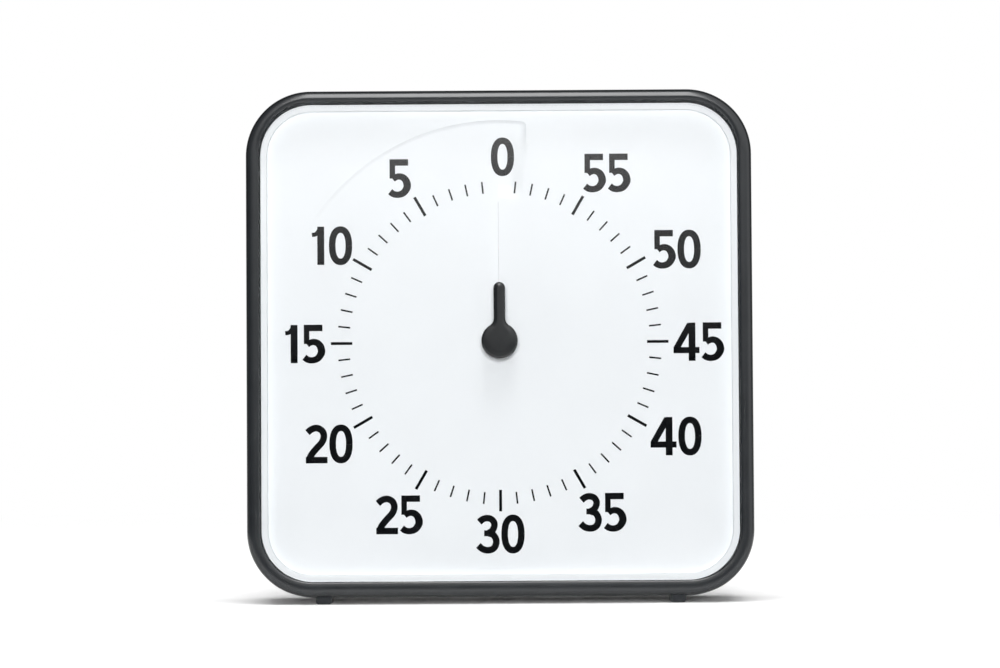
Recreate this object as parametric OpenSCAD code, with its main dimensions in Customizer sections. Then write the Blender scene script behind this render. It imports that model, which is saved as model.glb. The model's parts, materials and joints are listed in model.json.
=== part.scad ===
// Visual countdown timer: a square case with a knob that draws a red disc out over a white dial.
// The object stands with its face towards -Y, leaning back a little on two feet and its lower back
// edge. Each module builds its piece face up, with z as the height towards the viewer, and upright()
// then stands it on the table.

/* [Case] */
// Width and height of the case
case_size = 190.5; // [180:0.5:200]
// Depth of the case, from the front rim to the back
case_depth = 42; // [41:0.5:44]
// Radius of the case's corners, seen from the front
corner_r = 24.5; // [22:0.5:26]
// Width of the front rim at the sides of the lens
rim_w = 5.1; // [4.9:0.1:5.4]
// How much wider the rim is below the lens than at its sides, and narrower above it
case_drop = 0.7; // [0:0.1:0.8]
// Thickness of the case's walls
wall_t = 2.4; // [2.2:0.1:2.6]
// Gap between the rear cover and the case's walls
cover_gap = 0.2; // [0.15:0.05:0.3]

/* [Face] */
// Depth of the lens behind the front rim
lens_setback = 9.5; // [9:0.1:10]
// Thickness of the lens
lens_t = 1.5; // [1.2:0.1:1.6]
// Gap between the lens and the dial
lens_gap = 3.5; // [3.2:0.1:3.8]
// Distance of the dial's raised edge from the outside of the case
dial_rim_inset = 7.4; // [7:0.1:8]
// Radius of the arc that bounds the dial's recess
recess_r = 84.1; // [80:0.1:85]
// Angle over which the recess fades out, anticlockwise from 12 o'clock
recess_angle = 62; // [50:1:75]
// Distance of the recess's upright wall to the right of the slit
recess_right = 9.6; // [8:0.1:11]

/* [Red disc] */
// Radius of the red disc
disc_r = 53.6; // [50:0.1:53.6]
// Thickness of the red disc
disc_t = 0.4; // [0.3:0.05:0.4]
// Thickness of the dial over the red disc
skin_t = 0.8; // [0.7:0.05:0.9]
// Free space on each side of the red disc in the slit
disc_gap = 0.15; // [0.12:0.01:0.2]

/* [Knob] */
// Radius of the knob's round boss
knob_r = 7; // [6:0.1:8]
// Distance from the knob's axis to the lever's tip
lever_reach = 22.4; // [18:0.1:26]
// Width of the lever
lever_w = 4.2; // [3.6:0.1:5]

/* [Stand] */
// Angle by which the case leans back
lean = 4.2; // [3.6:0.1:5]
// Distance of each foot from the middle of the case
foot_x = 66.5; // [55:0.5:70]
// Width of a foot
foot_w = 6; // [5.6:0.1:8]
// Length of a foot, from front to back
foot_length = 16; // [14:0.5:18]

/* [Battery] */
// Diameter of the AA cell
cell_d = 14.5; // [14.5:0.1:14.5]
// Length of the AA cell, with its button
cell_length = 50.5; // [50.5:0.1:50.5]

/* [Hidden] */
$fn = 64;

// Levels, as heights towards the viewer
front_z = 27;
back_z = front_z - case_depth;
lens_front_z = front_z - lens_setback;
lens_back_z = lens_front_z - lens_t;
dial_z = lens_back_z - lens_gap;
dial_edge_t = 1.8;
ledge_top_z = dial_z - dial_edge_t;
ledge_t = 2;
ledge_z = ledge_top_z - ledge_t;
back_inner_z = back_z + wall_t;

// Case
half_size = case_size / 2;
case_top = half_size - case_drop;
case_bottom = -half_size - case_drop;
straight = case_size - 2 * corner_r;
solid_inset = 20;
front_round = 2.2;
inner_round = 1.2;
back_round = 1.8;
ledge_inset = 9.5;
lens_inset = rim_w + 0.15;
dial_inset = rim_w + 0.25;
cover_seat = 1.6;
case_screw_at = half_size - 13.75;
case_boss_r = 3.5;
case_screw_r = 1.45;
case_screw_head = [2.8, 1.1];
screw_play = 0.05;
chassis_screw_at = [half_size - 6.75, 20];
chassis_screw_r = 1.1;

// Where the dial's centre stands: the case's lower back edge on the table, and the depth halved at y = 0
function leaned_y(y, z) = y * sin(lean) - z * cos(lean);
function leaned_z(y, z) = y * cos(lean) + z * sin(lean);
foremost_y = leaned_y(case_bottom + front_round, front_z - front_round) - front_round;
rearmost_y = leaned_y(case_top - back_round, back_z + back_round) + back_round;
centre_y = -(foremost_y + rearmost_y) / 2;
centre_height = back_round - leaned_z(case_bottom + back_round, back_z + back_round);

// Dial
disc_pitch = skin_t + disc_t + 2 * disc_gap;
disc_zone_r = disc_r + 0.6;
slit_end_r = 60.3;
slit_half = 0.25;
dial_hole_r = 5.5;
dial_flat_back = -disc_pitch - 1;
dial_rim_h = lens_gap - 0.05;
step_run = 0.2;
turn_columns = 70;
pocket_columns = 3;

// Shaft, hub and knob
shaft_r = 2;
shaft_flat = 1.5;
running_gap = 0.05;
shaft_back_z = back_inner_z + 2.7;
hub_r = 4.5;
hub_h = 2;
hub_z = dial_z - disc_pitch - skin_t - disc_gap - disc_t - 0.05;
knob_z = lens_front_z + 0.6;
knob_top_z = front_z - 0.6;
knob_chamfer = 0.6;
stem_r = 3;
lever_fillet = 3;
shaft_front_z = knob_top_z - 3.5;

// Movement
chassis_t = 2;
chassis_z = ledge_z - 1.9 - chassis_t;
movement_size = 56;
movement_wall = 1.6;
movement_front_z = chassis_z;
movement_back_z = movement_front_z - 15.4;
movement_split_z = movement_front_z - 7.7;
bush_r = 4;
bush_top_z = movement_front_z + 4.5;
arbor_r = 0.5;
pivot_depth = 0.9;
end_play = 0.1;

// Wheel train: teeth and module of each mesh, and the direction from each arbor to the next
leaves = 8;
centre_teeth = 64;
third_teeth = 60;
second_teeth = 40;
intermediate_teeth = 48;
centre_module = 0.4;
third_module = 0.35;
second_module = 0.4;
intermediate_module = 0.3;
centre_to_third = 150;
third_to_second = 60;
second_to_intermediate = -5;
intermediate_to_rotor = -25;
tooth_fill = 0.85;
addendum = 0.9;
dedendum = 1.15;
pressure_angle = 20;
wheel_t = 0.8;
pinion_t = 1.8;
function mesh_distance(teeth, size) = size * (teeth + leaves) / 2;
function from_polar(length, angle) = [length * cos(angle), length * sin(angle)];
third_at = from_polar(mesh_distance(centre_teeth, centre_module), centre_to_third);
second_at = third_at + from_polar(mesh_distance(third_teeth, third_module), third_to_second);
intermediate_at = second_at
    + from_polar(mesh_distance(second_teeth, second_module), second_to_intermediate);
rotor_at = intermediate_at
    + from_polar(mesh_distance(intermediate_teeth, intermediate_module), intermediate_to_rotor);
arbors = [third_at, second_at, intermediate_at, rotor_at];
centre_wheel_z = chassis_z - 3.2;
third_wheel_z = chassis_z - 6.2;
second_wheel_z = chassis_z - 8.8;
intermediate_wheel_z = chassis_z - 11.4;
magnet_r = 3;
magnet_h = 3;
magnet_z = chassis_z - 9.4;

// Motor and electronics
stator_t = 0.8;
stator_z = magnet_z + 1.1;
coil_x = 17.5;
coil_r = 4;
coil_low = -16;
coil_high = 6;
board_z = movement_back_z + 3.6;
board_t = 0.8;
board_size = [28, 10];
board_at = [-3, -19];

// Battery bay, door, switch and buzzer
cell_at = [-58, back_inner_z + 8.7];
bay_size = [58, 15.2];
bay_wall = 1.4;
bay_floor_z = cell_at[1] + cell_d / 2 + 0.45;
door_t = 1.5;
door_size = [62, 19.2];
door_play = 0.2;
door_pin_r = 0.5;
door_axis = [cell_at[0] - door_size[1] / 2 + door_t / 2, back_z + door_t / 2];
switch_at = [58, 30];
switch_travel = 4;
switch_cap = [5, 3.6];
buzzer_at = [-58, 30];
buzzer_r = 13.8;
keyhole_at = [0, 60];
keyhole_r = 4.5;
keyhole_slot_r = 2;
keyhole_rise = 9;
lead_r = 0.5;

// Feet
foot_front_z = front_z - front_round - 0.3;
foot_peg_z = foot_front_z - 9;
foot_peg_r = 1.5;
foot_peg_length = 4;
foot_edge_r = 1.2;
foot_h = (leaned_z(case_bottom, foot_front_z) + centre_height) / cos(lean) + 0.05;

charcoal = "#3C4044";
white_abs = "#F5F9FC";
signal_red = "#D8232A";
knob_grey = "#34383B";
black_abs = "#1C1D1F";
cream_acetal = "#E9E4D4";
steel = "#A8ACB0";
brass = "#C9A24B";

// Stands a piece that was built face up: its height becomes the direction to the viewer
module upright() {
    translate([0, centre_y, centre_height]) rotate([90 - lean, 0, 0]) children();
}

// Square with round corners, centred
module rounded_square(size, r) {
    square([size, size - 2 * r], center = true);
    square([size - 2 * r, size], center = true);
    for (x = [-1, 1], y = [-1, 1]) translate([x, y] * (size / 2 - r)) circle(r);
}

// Carries a section round the case; the section's x counts outwards from the corners' centres
module around_case() {
    for (k = [0:3]) rotate(90 * k) translate([straight / 2, straight / 2, 0]) {
        rotate_extrude(angle = 90) children();
        rotate([90, 0, 0]) linear_extrude(straight) children();
    }
}

// Rectangle of an around_case() section, between two insets from the outside and two heights
module band(inset_low, inset_high, low, high) {
    translate([corner_r - inset_high, low]) square([inset_high - inset_low, high - low]);
}

module at_corners(distance) {
    for (x = [-1, 1], y = [-1, 1]) translate([x * distance, y * distance, 0]) children();
}

module at_chassis_screws() {
    for (x = [-1, 1], y = [-1, 1])
        translate([x * chassis_screw_at[0], y * chassis_screw_at[1], 0]) children();
}

// ---- Case ----

// Section of the front rim, rounded at its outer edge, before the opening for the lens is cut
module rim_section() {
    band(0, solid_inset, ledge_z, front_z - front_round);
    band(front_round, solid_inset, front_z - front_round, front_z);
    translate([corner_r - front_round, front_z - front_round]) circle(front_round);
}

// Section of the opening: wide down to the ledge, narrower through it, and rounded at the front edge
module opening_section() {
    band(rim_w, solid_inset + 1, ledge_top_z, front_z + 1);
    band(ledge_inset, solid_inset + 1, ledge_z - 1, ledge_top_z + 1);
    difference() {
        band(rim_w - inner_round, rim_w + 1, front_z - inner_round, front_z + 1);
        translate([corner_r - rim_w + inner_round, front_z - inner_round]) circle(inner_round);
    }
}

// Section of the side wall behind the rim, rounded at the back, with the seat that the cover rests on
module wall_section() {
    band(0, wall_t, back_z + back_round, ledge_z + 1);
    band(back_round, wall_t, back_z, back_z + back_round);
    translate([corner_r - back_round, back_z + back_round]) intersection() {
        circle(back_round);
        translate([0, -back_round]) square(back_round);
    }
    band(wall_t - 0.4, wall_t + cover_seat, back_inner_z + 0.05, back_inner_z + cover_seat);
}

// Recesses in the rim's inner wall that the lens's two tabs snap into
module lens_tab_slot(width, side) {
    translate([-width / 2, side > 0 ? half_size - rim_w - 1 : -half_size + rim_w - 1.4, lens_back_z - 0.1])
        cube([width, 2.4, lens_t]);
}

module front_bezel() color(charcoal) upright() difference() {
    union() {
        translate([0, -case_drop, 0]) {
            around_case() wall_section();
            difference() {
                around_case() rim_section();
                translate([0, case_drop, 0]) around_case() opening_section();
            }
        }
        at_corners(case_screw_at) translate([0, 0, back_inner_z + 0.05])
            cylinder(r = case_boss_r, h = ledge_z - back_inner_z + 1);
        for (k = [0:3]) rotate(45 + 90 * k)
            translate([case_screw_at * sqrt(2) + 2.5, -1, back_inner_z + 0.5])
                cube([5.5, 2, ledge_z - back_inner_z]);
        at_chassis_screws() translate([0, 0, chassis_z + chassis_t])
            cylinder(r = 3, h = ledge_z - chassis_z - chassis_t + 1);
    }
    at_corners(case_screw_at) translate([0, 0, back_z])
        cylinder(r = case_screw_r + screw_play, h = 14);
    at_chassis_screws() translate([0, 0, chassis_z])
        cylinder(r = chassis_screw_r + screw_play, h = ledge_top_z - chassis_z - 0.3);
    for (x = [-1, 1]) translate([x * foot_x, case_bottom - 1, foot_peg_z])
        rotate([-90, 0, 0]) cylinder(r = foot_peg_r + 0.02, h = foot_peg_length + 1.1);
    lens_tab_slot(15.6, 1);
    lens_tab_slot(8.2, -1);
}

// Walls and floor of the bay that holds the cell
module battery_bay() {
    wall_size = bay_size + [2, 2] * bay_wall;
    translate([-wall_size[0] / 2, cell_at[0] - wall_size[1] / 2, back_inner_z - 0.4]) difference() {
        cube([wall_size[0], wall_size[1], bay_floor_z + bay_wall - back_inner_z + 0.4]);
        translate([bay_wall, bay_wall, -1])
            cube([bay_size[0], bay_size[1], bay_floor_z - back_inner_z + 1.4]);
        for (x = [bay_wall, wall_size[0] - bay_wall - 3])
            translate([x, wall_size[1] - 2 * bay_wall, 8]) cube([3, 3 * bay_wall, 4]);
    }
}

module rear_cover() color(charcoal) upright() difference() {
    union() {
        translate([0, -case_drop, back_z]) linear_extrude(wall_t)
            rounded_square(case_size - 2 * (wall_t + cover_gap), corner_r - wall_t - cover_gap);
        battery_bay();
        translate([buzzer_at[0], buzzer_at[1], back_inner_z - 0.4]) difference() {
            cylinder(r = buzzer_r + 1.4, h = 4);
            translate([0, 0, -1]) cylinder(r = buzzer_r + 0.1, h = 6);
        }
    }
    at_corners(case_screw_at) translate([0, 0, back_z - 1]) {
        cylinder(r = case_screw_r + 0.25, h = wall_t + 2);
        cylinder(r = case_screw_head[0] + 0.4, h = case_screw_head[1] + 1.1);
    }
    translate([0, cell_at[0], back_z - 1]) {
        translate([-bay_size[0] / 2, -bay_size[1] / 2, 0]) cube([bay_size[0], bay_size[1], 6]);
        translate([-door_size[0] / 2 - door_play, -door_size[1] / 2 - door_play, 0])
            cube([door_size[0] + 2 * door_play, door_size[1] + 2 * door_play, door_t + 1.1]);
    }
    translate([0, door_axis[0], door_axis[1]]) rotate([0, 90, 0])
        cylinder(r = door_pin_r + running_gap, h = door_size[0] + 2.6, center = true);
    translate([switch_at[0], switch_at[1], back_z])
        cube([switch_cap[0] + switch_travel + 0.4, switch_cap[1] + 0.4, 3 * wall_t], center = true);
    translate([keyhole_at[0], keyhole_at[1], back_z - 1]) {
        cylinder(r = keyhole_r, h = wall_t + 2);
        translate([-keyhole_slot_r, 0, 0]) cube([2 * keyhole_slot_r, keyhole_rise, wall_t + 2]);
        translate([0, keyhole_rise, 0]) cylinder(r = keyhole_slot_r, h = wall_t + 2);
    }
    for (k = [0:6]) translate([buzzer_at[0], buzzer_at[1], back_z - 1])
        rotate(60 * k) translate([k == 0 ? 0 : 5, 0, 0]) cylinder(r = 1, h = wall_t + 2);
}

module case_screws() color(steel) upright() at_corners(case_screw_at) difference() {
    union() {
        translate([0, 0, back_z + 0.1]) cylinder(r = case_screw_head[0], h = case_screw_head[1]);
        translate([0, 0, back_z + case_screw_head[1]]) cylinder(r = case_screw_r, h = 12);
    }
    for (a = [0, 90]) rotate(a) translate([-1.8, -0.35, back_z - 1]) cube([3.6, 0.7, 1.8]);
}

module lens() color("#EAF2F6", 0.3) upright() difference() {
    union() {
        around_case() translate([corner_r - lens_inset, lens_back_z])
            polygon([[-2.5, 0], [0, 0], [0, lens_t - 0.4], [-0.4, lens_t], [-2.5, lens_t]]);
        translate([0, 0, lens_back_z]) linear_extrude(lens_t)
            rounded_square(case_size - 2 * lens_inset - 4.8, corner_r - lens_inset - 2.4);
        translate([-7.5, half_size - lens_inset - 1, lens_back_z]) cube([15, 2.1, 1.2]);
        translate([-3.8, -half_size + lens_inset - 1.1, lens_back_z]) cube([7.6, 2.1, 1.2]);
    }
    translate([0, 0, lens_back_z - 1]) cylinder(r = stem_r + 0.6, h = lens_t + 2);
}

// ---- Dial ----

function mix(a, b, t) = a + (b - a) * t;
function ease(t) = let (c = min(1, max(0, t))) c * c * (3 - 2 * c);

// Distance from the dial's centre, along an angle, to a rounded square of the case's size moved in by
// an inset
function edge_r(phi, inset) =
    let (
        c = abs(cos(phi)),
        s = abs(sin(phi)),
        half = half_size - inset,
        flat = straight / 2,
        r = corner_r - inset
    )
    half * min(c, s) <= flat * max(c, s)
        ? half / max(c, s)
        : flat * (s + c) + sqrt(pow(flat * (s + c), 2) - 2 * flat * flat + r * r);

// The dial over the red disc is one turn of a screw surface, lowest just left of the slit
function screw_height(phi) = -disc_pitch * (1 - phi / 360);

// Anticlockwise angle of one column of the dial's grid at a radius. The last few columns lie in the
// pocket between the recess's upright wall and the slit.
function slit_angle(r) = r < slit_end_r ? asin(slit_half / r) : 0;
function wall_angle(r, run) = 360 - asin((recess_right - run) / max(r, disc_zone_r));
function column_angle(i, r) =
    i <= turn_columns
        ? mix(slit_angle(r), wall_angle(r, 0), i / turn_columns)
        : mix(wall_angle(r, step_run), 360 - slit_angle(r), (i - turn_columns - 1) / pocket_columns);

// Height of the dial's front inside the recess's arc
function face_height(i, r) =
    let (phi = column_angle(i, r), low = screw_height(phi))
    i > turn_columns
        ? mix(low, -disc_pitch, ease((r - disc_zone_r) / (slit_end_r - disc_zone_r)))
        : mix(low, phi < recess_angle ? -disc_pitch * (1 - phi / recess_angle) : 0,
            ease((r - disc_zone_r) / (recess_r - disc_zone_r)));

function back_height(i, r) =
    mix(face_height(i, r) - skin_t, dial_flat_back,
        ease((r - disc_zone_r) / (slit_end_r - disc_zone_r)));

function dial_point(phi, r, height) = [-r * sin(phi), r * cos(phi), dial_z + height];

slit_rings = [dial_hole_r, disc_zone_r, (disc_zone_r + slit_end_r) / 2, slit_end_r];
face_rings = concat(slit_rings, [mix(slit_end_r, recess_r, 0.33), mix(slit_end_r, recess_r, 0.67), recess_r]);

// Outer rings of the dial as [inset, height]: the raised edge in front, then the rest on the ledge
rim_rings = [
    [dial_rim_inset + 0.4, 0], [dial_rim_inset, dial_rim_h], [dial_inset, dial_rim_h],
    [dial_inset, -dial_edge_t], [ledge_inset + 0.4, -dial_edge_t]
];
last_column = turn_columns + 1 + pocket_columns;
dial_columns = last_column + 1;

function dial_ring(kind, value) =
    [for (i = [0:last_column])
        let (r = kind == "rim" ? edge_r(column_angle(i, half_size), value[0]) : value,
             phi = kind == "rim" ? column_angle(i, half_size) : column_angle(i, r))
        dial_point(phi, r,
            kind == "face" ? face_height(i, r) :
            kind == "back" ? back_height(i, r) :
            kind == "level" ? 0 :
            kind == "flat_back" ? dial_flat_back : value[1])];

dial_rings = concat(
    [for (r = face_rings) dial_ring("face", r)],
    [dial_ring("level", recess_r + step_run)],
    [for (v = rim_rings) dial_ring("rim", v)],
    [dial_ring("flat_back", recess_r + 0.7)],
    [for (k = [len(slit_rings) - 1:-1:0]) dial_ring("back", slit_rings[k])]
);
ring_count = len(dial_rings);

// A ring is open where the slit cuts it, and elsewhere its last column is its first
function ring_is_open(k) = k < len(slit_rings) - 1 || k > ring_count - len(slit_rings);
function dial_index(k, i) =
    let (ring = k % ring_count)
    ring * dial_columns + (i == last_column && !ring_is_open(ring) ? 0 : i);

dial_faces = concat(
    [for (k = [0:ring_count - 1], i = [0:last_column - 1])
        each [
            [dial_index(k, i), dial_index(k, i + 1), dial_index(k + 1, i + 1)],
            [dial_index(k, i), dial_index(k + 1, i + 1), dial_index(k + 1, i)]
        ]],
    [for (k = [0:len(slit_rings) - 2])
        let (back = ring_count - 1 - k)
        each [
            [dial_index(k, 0), dial_index(k + 1, 0), dial_index(back - 1, 0)],
            [dial_index(k, 0), dial_index(back - 1, 0), dial_index(back, 0)],
            [dial_index(k + 1, last_column), dial_index(k, last_column), dial_index(back, last_column)],
            [dial_index(k + 1, last_column), dial_index(back, last_column),
                dial_index(back - 1, last_column)]
        ]]
);

module dial_plate() color(white_abs) upright()
    polyhedron(points = [for (ring = dial_rings) each ring], faces = dial_faces);

// ---- Red disc, hub, knob and shaft ----

disc_columns = 72;
disc_inner_r = hub_r - 0.2;
disc_edge_half = 0.6;

// Front of the red disc at rest, just behind the dial's screw surface
function disc_point(i, corner) =
    let (
        r = corner == 0 || corner == 3 ? disc_inner_r : disc_r,
        free = asin(disc_edge_half / r),
        phi = mix(free, 360 - free, i / disc_columns),
        drop = skin_t + disc_gap + (corner < 2 ? 0 : disc_t)
    )
    dial_point(phi, r, screw_height(phi) - drop);

module red_disc() color(signal_red) upright() polyhedron(
    points = [for (i = [0:disc_columns], corner = [0:3]) disc_point(i, corner)],
    faces = concat(
        [for (i = [0:disc_columns - 1], c = [0:3])
            each [
                [4 * i + c, 4 * i + 4 + c, 4 * i + 4 + (c + 1) % 4],
                [4 * i + c, 4 * i + 4 + (c + 1) % 4, 4 * i + (c + 1) % 4]
            ]],
        [[0, 1, 2], [0, 2, 3]],
        [for (e = [4 * disc_columns]) each [[e + 2, e + 1, e], [e + 3, e + 2, e]]]
    )
);

// Round section with one flat
module d_section(r, flat) {
    intersection() {
        circle(r);
        translate([-r, -r]) square([2 * r, r + flat]);
    }
}

module disc_hub() color(black_abs) upright() translate([0, 0, hub_z])
    linear_extrude(hub_h) difference() {
        circle(hub_r);
        d_section(shaft_r + running_gap, shaft_flat + running_gap);
    }

// Outline of the knob: round boss and lever, blended by a hollow fillet on each side
module knob_outline(shrink) {
    boss = knob_r - shrink;
    lever = lever_w / 2 - shrink;
    tip = lever_reach - shrink - lever;
    fillet = lever_fillet + shrink;
    fillet_y = sqrt(pow(boss + fillet, 2) - pow(lever + fillet, 2));
    circle(boss);
    translate([-lever, 0]) square([2 * lever, tip]);
    translate([0, tip]) circle(lever);
    difference() {
        polygon([[0, 0], [-lever - fillet, fillet_y], [lever + fillet, fillet_y]]);
        for (x = [-1, 1]) translate([x * (lever + fillet), fillet_y]) circle(fillet);
    }
}

module knob() color(knob_grey) upright() difference() {
    union() {
        translate([0, 0, knob_z]) linear_extrude(knob_top_z - knob_chamfer - knob_z) knob_outline(0);
        translate([0, 0, knob_top_z - knob_chamfer]) linear_extrude(knob_chamfer / 2) knob_outline(0.25);
        translate([0, 0, knob_top_z - knob_chamfer / 2]) linear_extrude(knob_chamfer / 2)
            knob_outline(0.6);
        translate([0, 0, hub_z + hub_h + disc_pitch + 0.5])
            cylinder(r = stem_r, h = knob_z - hub_z - hub_h - disc_pitch);
    }
    translate([0, 0, hub_z]) linear_extrude(shaft_front_z - hub_z + 0.1)
        d_section(shaft_r + 0.02, shaft_flat + 0.02);
}

module centre_shaft() color(steel) upright() {
    translate([0, 0, shaft_back_z]) cylinder(r = shaft_r, h = bush_top_z - shaft_back_z);
    translate([0, 0, bush_top_z]) linear_extrude(shaft_front_z - bush_top_z)
        d_section(shaft_r, shaft_flat);
    translate([0, 0, centre_wheel_z + 1.1]) cylinder(r = bush_r, h = 0.4);
}

// ---- Chassis and movement case ----

module chassis() color(black_abs) upright() difference() {
    union() {
        translate([0, 0, chassis_z]) linear_extrude(chassis_t) {
            square([2 * half_size - 8.5, 44], center = true);
            square([2 * half_size - 16.5, 52], center = true);
            for (x = [-1, 1], y = [-1, 1])
                translate([x * (half_size - 8.25), y * 22]) circle(4);
        }
        for (x = [-1, 1], y = [-1, 1])
            translate([x * 57 - 24, y * 24.5 - 0.75, chassis_z - 2]) cube([48, 1.5, 3]);
    }
    translate([0, 0, chassis_z - 1]) cylinder(r = bush_r + 0.1, h = chassis_t + 2);
    at_chassis_screws() translate([0, 0, chassis_z - 1])
        cylinder(r = chassis_screw_r + 0.2, h = chassis_t + 2);
    for (x = [-1, 1]) translate([x * 56, 0, chassis_z - 1])
        linear_extrude(chassis_t + 2) rounded_square(30, 4);
}

module chassis_screws() color(steel) upright() at_chassis_screws() difference() {
    union() {
        translate([0, 0, chassis_z - 1.4]) cylinder(r = 2.2, h = 1.4);
        translate([0, 0, chassis_z - 0.1]) cylinder(r = chassis_screw_r, h = 5.2);
    }
    for (a = [0, 90]) rotate(a) translate([-1.4, -0.3, chassis_z - 2]) cube([2.8, 0.6, 1.4]);
}

// Walls of one half of the movement's box
module movement_walls(low, high) {
    translate([0, 0, low]) linear_extrude(high - low) difference() {
        rounded_square(movement_size, 3);
        rounded_square(movement_size - 2 * movement_wall, 3 - movement_wall);
    }
}

// Blind holes for the arbors' pivots, in the inner face of a plate; side is 1 for the front plate
module pivot_holes(plate_z, side) {
    for (at = arbors) translate([at[0], at[1], plate_z - (side > 0 ? 1 : pivot_depth)])
        cylinder(r = arbor_r + running_gap, h = pivot_depth + 1);
}

module movement_front() color(black_abs) upright() difference() {
    union() {
        movement_walls(movement_split_z, movement_front_z);
        translate([0, 0, movement_front_z - movement_wall]) linear_extrude(movement_wall)
            rounded_square(movement_size, 3);
        translate([0, 0, movement_front_z - 1]) cylinder(r = bush_r, h = bush_top_z - movement_front_z + 1);
    }
    translate([0, 0, movement_front_z - 3]) cylinder(r = shaft_r + running_gap, h = 10);
    pivot_holes(movement_front_z - movement_wall, 1);
}

module movement_rear() color(black_abs) upright() difference() {
    union() {
        movement_walls(movement_back_z, movement_split_z);
        translate([0, 0, movement_back_z]) linear_extrude(movement_wall) rounded_square(movement_size, 3);
    }
    translate([0, 0, movement_back_z + 0.4]) cylinder(r = shaft_r + running_gap, h = movement_wall + 1);
    pivot_holes(movement_back_z + movement_wall, -1);
    for (x = [-10, 4]) translate([x, -movement_size / 2 - 1, board_z + board_t + 0.8])
        rotate([-90, 0, 0]) cylinder(r = lead_r + 0.3, h = 4);
}

module mounting_nut() color(brass) upright() translate([0, 0, chassis_z + chassis_t + 0.4])
    difference() {
        cylinder(r = 6.35, h = 1.8, $fn = 6);
        translate([0, 0, -1]) cylinder(r = bush_r + 0.02, h = 4);
    }

module nut_washer() color(steel) upright() translate([0, 0, chassis_z + chassis_t])
    difference() {
        cylinder(r = 7.5, h = 0.4);
        translate([0, 0, -1]) cylinder(r = bush_r + 0.1, h = 3);
    }

// ---- Wheel train ----

// Involute gear: half the angle that a tooth fills at a radius
function involute(angle) = tan(angle) * 180 / PI - angle;
function tooth_half(teeth, pitch_r, r) =
    let (base_r = pitch_r * cos(pressure_angle))
    90 / teeth * tooth_fill + involute(pressure_angle) - involute(acos(base_r / max(r, base_r)));

module gear_outline(teeth, size, phase) {
    pitch_r = size * teeth / 2;
    flank = [pitch_r - dedendum * size, pitch_r, pitch_r + addendum * size];
    polygon([for (k = [0:teeth - 1], side = [-1, 1], j = [0:2])
        let (r = flank[side < 0 ? j : 2 - j])
        from_polar(r, phase + 360 * k / teeth + side * tooth_half(teeth, pitch_r, r))]);
}

// Turn of a pinion that meshes with a wheel of known phase, along the direction from wheel to pinion
function pinion_phase(wheel_teeth, wheel_phase, direction) =
    direction + 180 + 180 / leaves - (wheel_phase - direction) * wheel_teeth / leaves;

// Wheel with five round windows between hub and rim
module wheel(teeth, size, phase, bore_r) {
    pitch_r = size * teeth / 2;
    rim_r = pitch_r - 3 * size;
    hub = max(bore_r + 1.2, 2);
    window_at = (rim_r + hub) / 2;
    window_r = min((rim_r - hub) / 2 - 0.3, window_at * sin(36) - 0.5);
    linear_extrude(wheel_t) difference() {
        gear_outline(teeth, size, phase);
        circle(bore_r);
        for (k = [0:4]) rotate(72 * k + 36) translate([window_at, 0]) circle(window_r);
    }
}

// Arbor with its pinion and wheel as one moulding
module arbor_wheel(at, teeth, size, wheel_z, pinion_size, pinion_turn, pinion_z) {
    back = movement_back_z + movement_wall - pivot_depth + end_play;
    front = movement_front_z - movement_wall + pivot_depth - end_play;
    translate([at[0], at[1], 0]) {
        translate([0, 0, back]) cylinder(r = arbor_r, h = front - back);
        translate([0, 0, wheel_z]) wheel(teeth, size, 0, 0.3);
        translate([0, 0, pinion_z]) linear_extrude(pinion_t) gear_outline(leaves, pinion_size, pinion_turn);
    }
}

module centre_wheel() color(cream_acetal) upright() translate([0, 0, centre_wheel_z])
    wheel(centre_teeth, centre_module, 0, shaft_r + running_gap);

module third_wheel() color(cream_acetal) upright()
    arbor_wheel(third_at, third_teeth, third_module, third_wheel_z,
        centre_module, pinion_phase(centre_teeth, 0, centre_to_third), centre_wheel_z - 0.5);

module second_wheel() color(cream_acetal) upright()
    arbor_wheel(second_at, second_teeth, second_module, second_wheel_z,
        third_module, pinion_phase(third_teeth, 0, third_to_second), third_wheel_z - 0.5);

module intermediate_wheel() color(cream_acetal) upright()
    arbor_wheel(intermediate_at, intermediate_teeth, intermediate_module, intermediate_wheel_z,
        second_module, pinion_phase(second_teeth, 0, second_to_intermediate), second_wheel_z - 0.5);

module rotor_pinion() color(cream_acetal) upright() translate([rotor_at[0], rotor_at[1], 0]) {
    back = movement_back_z + movement_wall - pivot_depth + end_play;
    front = movement_front_z - movement_wall + pivot_depth - end_play;
    translate([0, 0, back]) cylinder(r = arbor_r, h = front - back);
    translate([0, 0, intermediate_wheel_z - 0.5]) linear_extrude(pinion_t)
        gear_outline(leaves, intermediate_module,
            pinion_phase(intermediate_teeth, 0, intermediate_to_rotor));
}

module rotor_magnet() color("#2B2D30") upright() translate([rotor_at[0], rotor_at[1], magnet_z])
    difference() {
        cylinder(r = magnet_r, h = magnet_h);
        translate([0, 0, -1]) cylinder(r = arbor_r, h = magnet_h + 2);
    }

// Dished washer that presses the centre wheel against the shaft's collar
module clutch_spring() color(brass) upright() rotate_extrude()
    polygon([
        [shaft_r + 0.05, centre_wheel_z - 1.1], [5, centre_wheel_z - 0.35],
        [5, centre_wheel_z - 0.05], [shaft_r + 0.05, centre_wheel_z - 0.8]
    ]);

module shaft_clip() color(steel) upright() translate([0, 0, centre_wheel_z - 1.6])
    linear_extrude(0.4) difference() {
        circle(3.6);
        circle(shaft_r);
        translate([-1.2, -4]) square([2.4, 4]);
    }

// ---- Motor and electronics ----

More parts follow.
